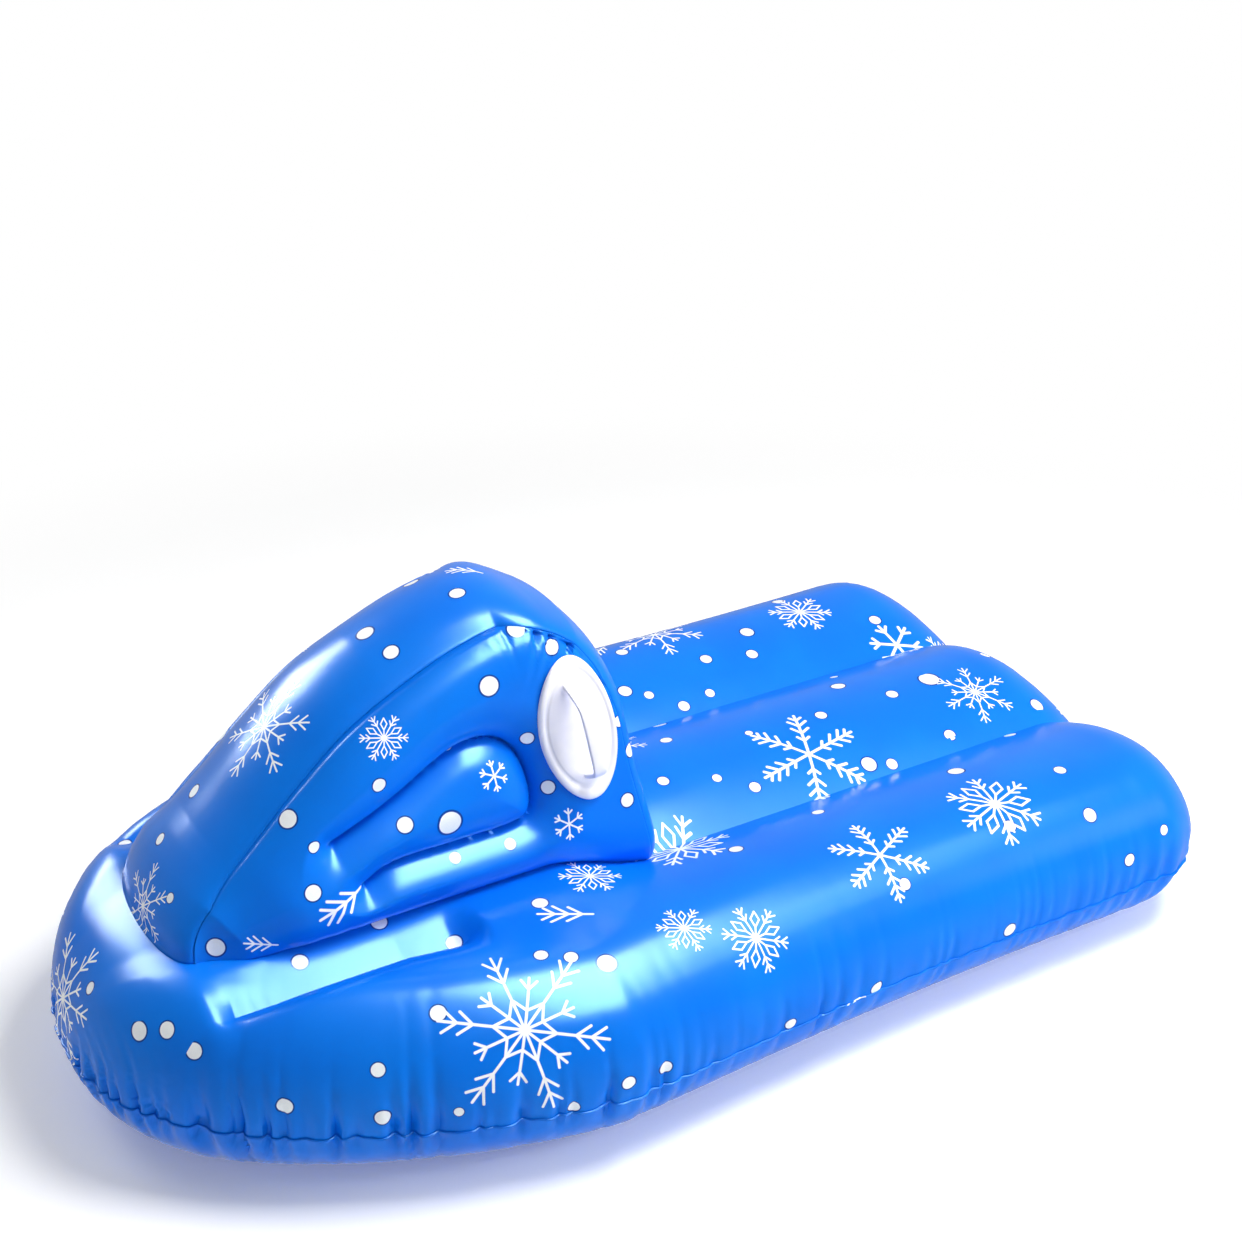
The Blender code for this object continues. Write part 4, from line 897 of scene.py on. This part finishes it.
def soft_white(name, colour, shade, rough):
    """Moulded PVC: faintly mottled in colour and gloss, with the mould's fine texture."""
    made, shader, value = new_material(name)
    place = value.node("ShaderNodeTexCoord", {}, output=3)
    cloud = value.node("ShaderNodeTexNoise", {}, ("Vector", place), ("Scale", 28.0),
                       ("Detail", 3.0))
    grain = value.node("ShaderNodeTexNoise", {}, ("Vector", place), ("Scale", 900.0),
                       ("Detail", 2.0))
    feed(value.tree, shader.inputs["Base Color"], cloud.between(0.3, 0.7).mix(shade, colour))
    feed(value.tree, shader.inputs["Roughness"], cloud * 0.14 + (rough - 0.07))
    bump = value.node("ShaderNodeBump", {}, ("Strength", 0.2), ("Distance", 0.0003),
                      ("Height", grain * 0.5 + cloud))
    feed(value.tree, shader.inputs["Normal"], bump)
    return made


white_moulding = soft_white("white_moulding", (0.92, 0.91, 0.95, 1), (0.84, 0.83, 0.90, 1), 0.38)


def boxed(wave, power):
    """A sine or cosine wave pressed towards a square one: sign(w) |w|^power."""
    return np.sign(wave) * np.abs(wave) ** power


def oval_terms(x, z):
    """Every product of powers of the two distances from the handle's middle, up to the third."""
    dx, dz = (x - HANDLE_X) / 0.1, (z - HANDLE_Z) / 0.1
    return np.stack([dx**i * dz**j for i in range(4) for j in range(4 - i)], -1)


spots = left_grid.reshape(-1, 3)
run_x, run_z = spots[:, 0] - HANDLE_X, spots[:, 2] - HANDLE_Z
across = (run_x * math.cos(TILT) - run_z * math.sin(TILT)) / PATCH_WIDTH * 2
along = (run_x * math.sin(TILT) + run_z * math.cos(TILT)) / PATCH_LENGTH * 2
under = np.hypot(across, along) < 1.05
terms = oval_terms(spots[under, 0], spots[under, 2])
patch_fit, *_ = np.linalg.lstsq(terms, spots[under, 1], rcond=None)
patch_lift = (spots[under, 1] - terms @ patch_fit).max()


def on_patch(across, along, height):
    """Points of the left handle, from metres across and along its oval and above the film."""
    x = HANDLE_X + across * math.cos(TILT) + along * math.sin(TILT)
    z = HANDLE_Z - across * math.sin(TILT) + along * math.cos(TILT)
    return np.stack([x, oval_terms(x, z) @ patch_fit + patch_lift + height, z], -1)


def ring_faces(rows, steps, flip=False):
    """Quads between closed rings of points."""
    first = np.arange(rows - 1)[:, None] * steps
    here, there = np.arange(steps), (np.arange(steps) + 1) % steps
    corners = np.stack([first + here, first + steps + here, first + steps + there,
                        first + there], -1).reshape(-1, 4)
    return corners[:, ::-1] if flip else corners


def add_closed(name, points, faces, material, body):
    """A piece whose rings may shrink to one point, which are merged, riding on a body."""
    made = add_piece(name, points, faces.tolist(), material)
    work = bmesh.new()
    work.from_mesh(made.data)
    bmesh.ops.remove_doubles(work, verts=work.verts, dist=1e-7)
    work.to_mesh(made.data)
    work.free()
    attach(made, body)
    return made


def oval_patch(steps=144):
    """Rings at shares of the oval: a flat middle, a groove round it, a rounded rim, an edge that
    sinks into the film, and the underside."""
    profile = np.array([(0, 3), (0.3, 3), (0.6, 3), (0.74, 3), (0.765, 2.9), (0.78, 2.5),
                        (0.795, 2.2), (0.83, 2.15), (0.85, 2.4), (0.87, 3.0), (0.895, 3.5),
                        (0.925, 3.7), (0.955, 3.5), (0.98, 2.9), (0.995, 1.8), (1, 0.4),
                        (0.985, -0.6), (0, -0.6)])
    angle = np.linspace(0, 2 * math.pi, steps, endpoint=False)[None]
    share, height = profile[:, :1], profile[:, 1:] / 1000 + 0 * angle
    return on_patch(share * np.sin(angle) * PATCH_WIDTH / 2,
                    share * np.cos(angle) * PATCH_LENGTH / 2, height)


def strap(steps=40):
    """A tube along an arch, with a section between an oval and a box: |sin| and |cos| to the
    0.4."""
    path = smooth_curve(np.array([(-48, -0.5), (-47, 4), (-42, 15), (-35.5, 26), (-29, 30),
                                  (-15, 31.3), (0, 31.6), (15, 31.3), (29, 30), (35.5, 26),
                                  (42, 15), (47, 4), (48, -0.5)]) / 1000, 120)
    run = np.gradient(path, axis=0)
    run /= np.linalg.norm(run, axis=1)[:, None]
    angle = np.linspace(0, 2 * math.pi, steps, endpoint=False)[None]
    size = np.ones((len(path), 1))
    size[[0, -1]] = 0
    width = STRAP_WIDTH / 2 * size * boxed(np.cos(angle), 0.4)
    thick = STRAP_THICKNESS / 2 * size * boxed(np.sin(angle), 0.4)
    along = path[:, :1] - run[:, 1:] * thick
    return on_patch(width, along, path[:, 1:] + run[:, :1] * thick)


for side, name in ((1, "left"), (-1, "right")):
    patch, arch = oval_patch(), strap()
    points = np.vstack([patch.reshape(-1, 3), arch.reshape(-1, 3)]) * [1, side, 1]
    faces = np.vstack([ring_faces(*patch.shape[:2], flip=side > 0),
                       ring_faces(*arch.shape[:2], flip=side < 0) + patch[..., 0].size])
    handle = add_closed(f"white_handle_{name}", points, faces, white_moulding, "sled")
    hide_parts(f"handle_{name}")

# Valves
# Push-in valves of soft pale PVC, one for each air chamber: a flange welded on the film, a stem
# that sinks into it, and a cap on a strap. Stems and inner flaps are the frame's own.
valve_soft = soft_white("valve_soft", (0.74, 0.84, 0.95, 1), (0.66, 0.78, 0.92, 1), 0.30)


def turned(profile, steps=96, ribs=0):
    """Rings round Z from (radius, height) in millimetres. Ribs ripple the flange's welded ring."""
    angle = np.linspace(0, 2 * math.pi, steps, endpoint=False)[None]
    radius, height = np.array(profile).T[..., None] / 1000
    ring = (radius > 0.012) & (radius < 0.0165) & (height > height.max() - 0.0002)
    height = height + ring * 0.0002 * np.cos(ribs * angle)
    return np.stack([radius * np.cos(angle), radius * np.sin(angle), height], -1)


for name, (centre, out, seat) in VALVES.items():
    axes = np.stack([(0, 1, 0), np.cross(out, (0, 1, 0)), out])
    low = seat * 1000
    top = low + 1.2
    flange = turned([(6.6, -9), (7.8, -9), (7.8, low), (17.2, low), (17.8, low + 0.2),
                     (18, low + 0.6), (17.7, top - 0.1), (17, top), (16.6, top), (16.3, top - 0.1),
                     (16, top), (14.3, top), (12.5, top), (12.2, top - 0.1), (11.9, top),
                     (9, top), (7.2, top), (6.8, top - 0.1), (6.6, top - 0.5), (6.6, -9)],
                    192, 64)
    points = flange.reshape(-1, 3) @ axes + centre
    flange = add_closed(f"{name}_flange", points, ring_faces(*flange.shape[:2], flip=True),
                        valve_soft, "sled")
    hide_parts(f"{name}_valve_flange")
    # The cap lies over the rim of the stem, with a little air below and above that rim
    air, rim, cap_thickness = 0.3, 1.6, 1.6
    low = top + air + rim + air
    top = low + cap_thickness
    disc = turned([(0, top - 0.5), (4.6, top - 0.5), (5.1, top - 0.35), (5.6, top - 0.05),
                   (6.2, top), (7.3, top), (7.9, top - 0.2), (8.2, top - 0.7), (8.1, low + 0.2),
                   (7.7, low), (4, low), (3.2, low - 4.5), (0, low - 4.5)])
    angle = np.linspace(0, 2 * math.pi, 24, endpoint=False)[None]
    place = np.array([-9.5, -9.3, -8, -7, 6.5, 8, 9.6, 11, 12, 12.4])[:, None] / 1000
    width = np.array([0, 2.4, 2.5, 2.5, 2.6, 3.6, 3.9, 3.4, 1.8, 0])[:, None] / 1000
    thick = (width > 0) * 0.0006 * boxed(np.sin(angle), 0.5)
    tab = np.stack([width * boxed(np.cos(angle), 0.5), place + 0 * angle,
                    (low + 0.8) / 1000 + thick], -1)
    points = np.vstack([disc.reshape(-1, 3), tab.reshape(-1, 3)]) @ axes + centre
    faces = np.vstack([ring_faces(*disc.shape[:2]), ring_faces(*tab.shape[:2], flip=True)
                       + disc[..., 0].size])
    cap = add_closed(f"{name}_cap", points, faces, valve_soft, f"{name}_valve_cap")
    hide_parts(f"{name}_valve_cap")
    for part in ("stem", "flap"):
        bpy.data.objects[f"{name}_valve_{part}"].data.materials[0] = valve_soft

# Webs
# Upright strips of clear film inside the hull and the hood, welded along the valleys and the
# tongue. They hold the deck down and stay out of sight.
web_film = soft_white("web_film", (0.55, 0.68, 0.90, 1), (0.50, 0.64, 0.88, 1), 0.25)
for name in ("hull_web_left", "hull_web_right", "bow_web_left", "bow_web_right",
             "hood_web_tongue"):
    bpy.data.objects[name].data.materials[0] = web_film
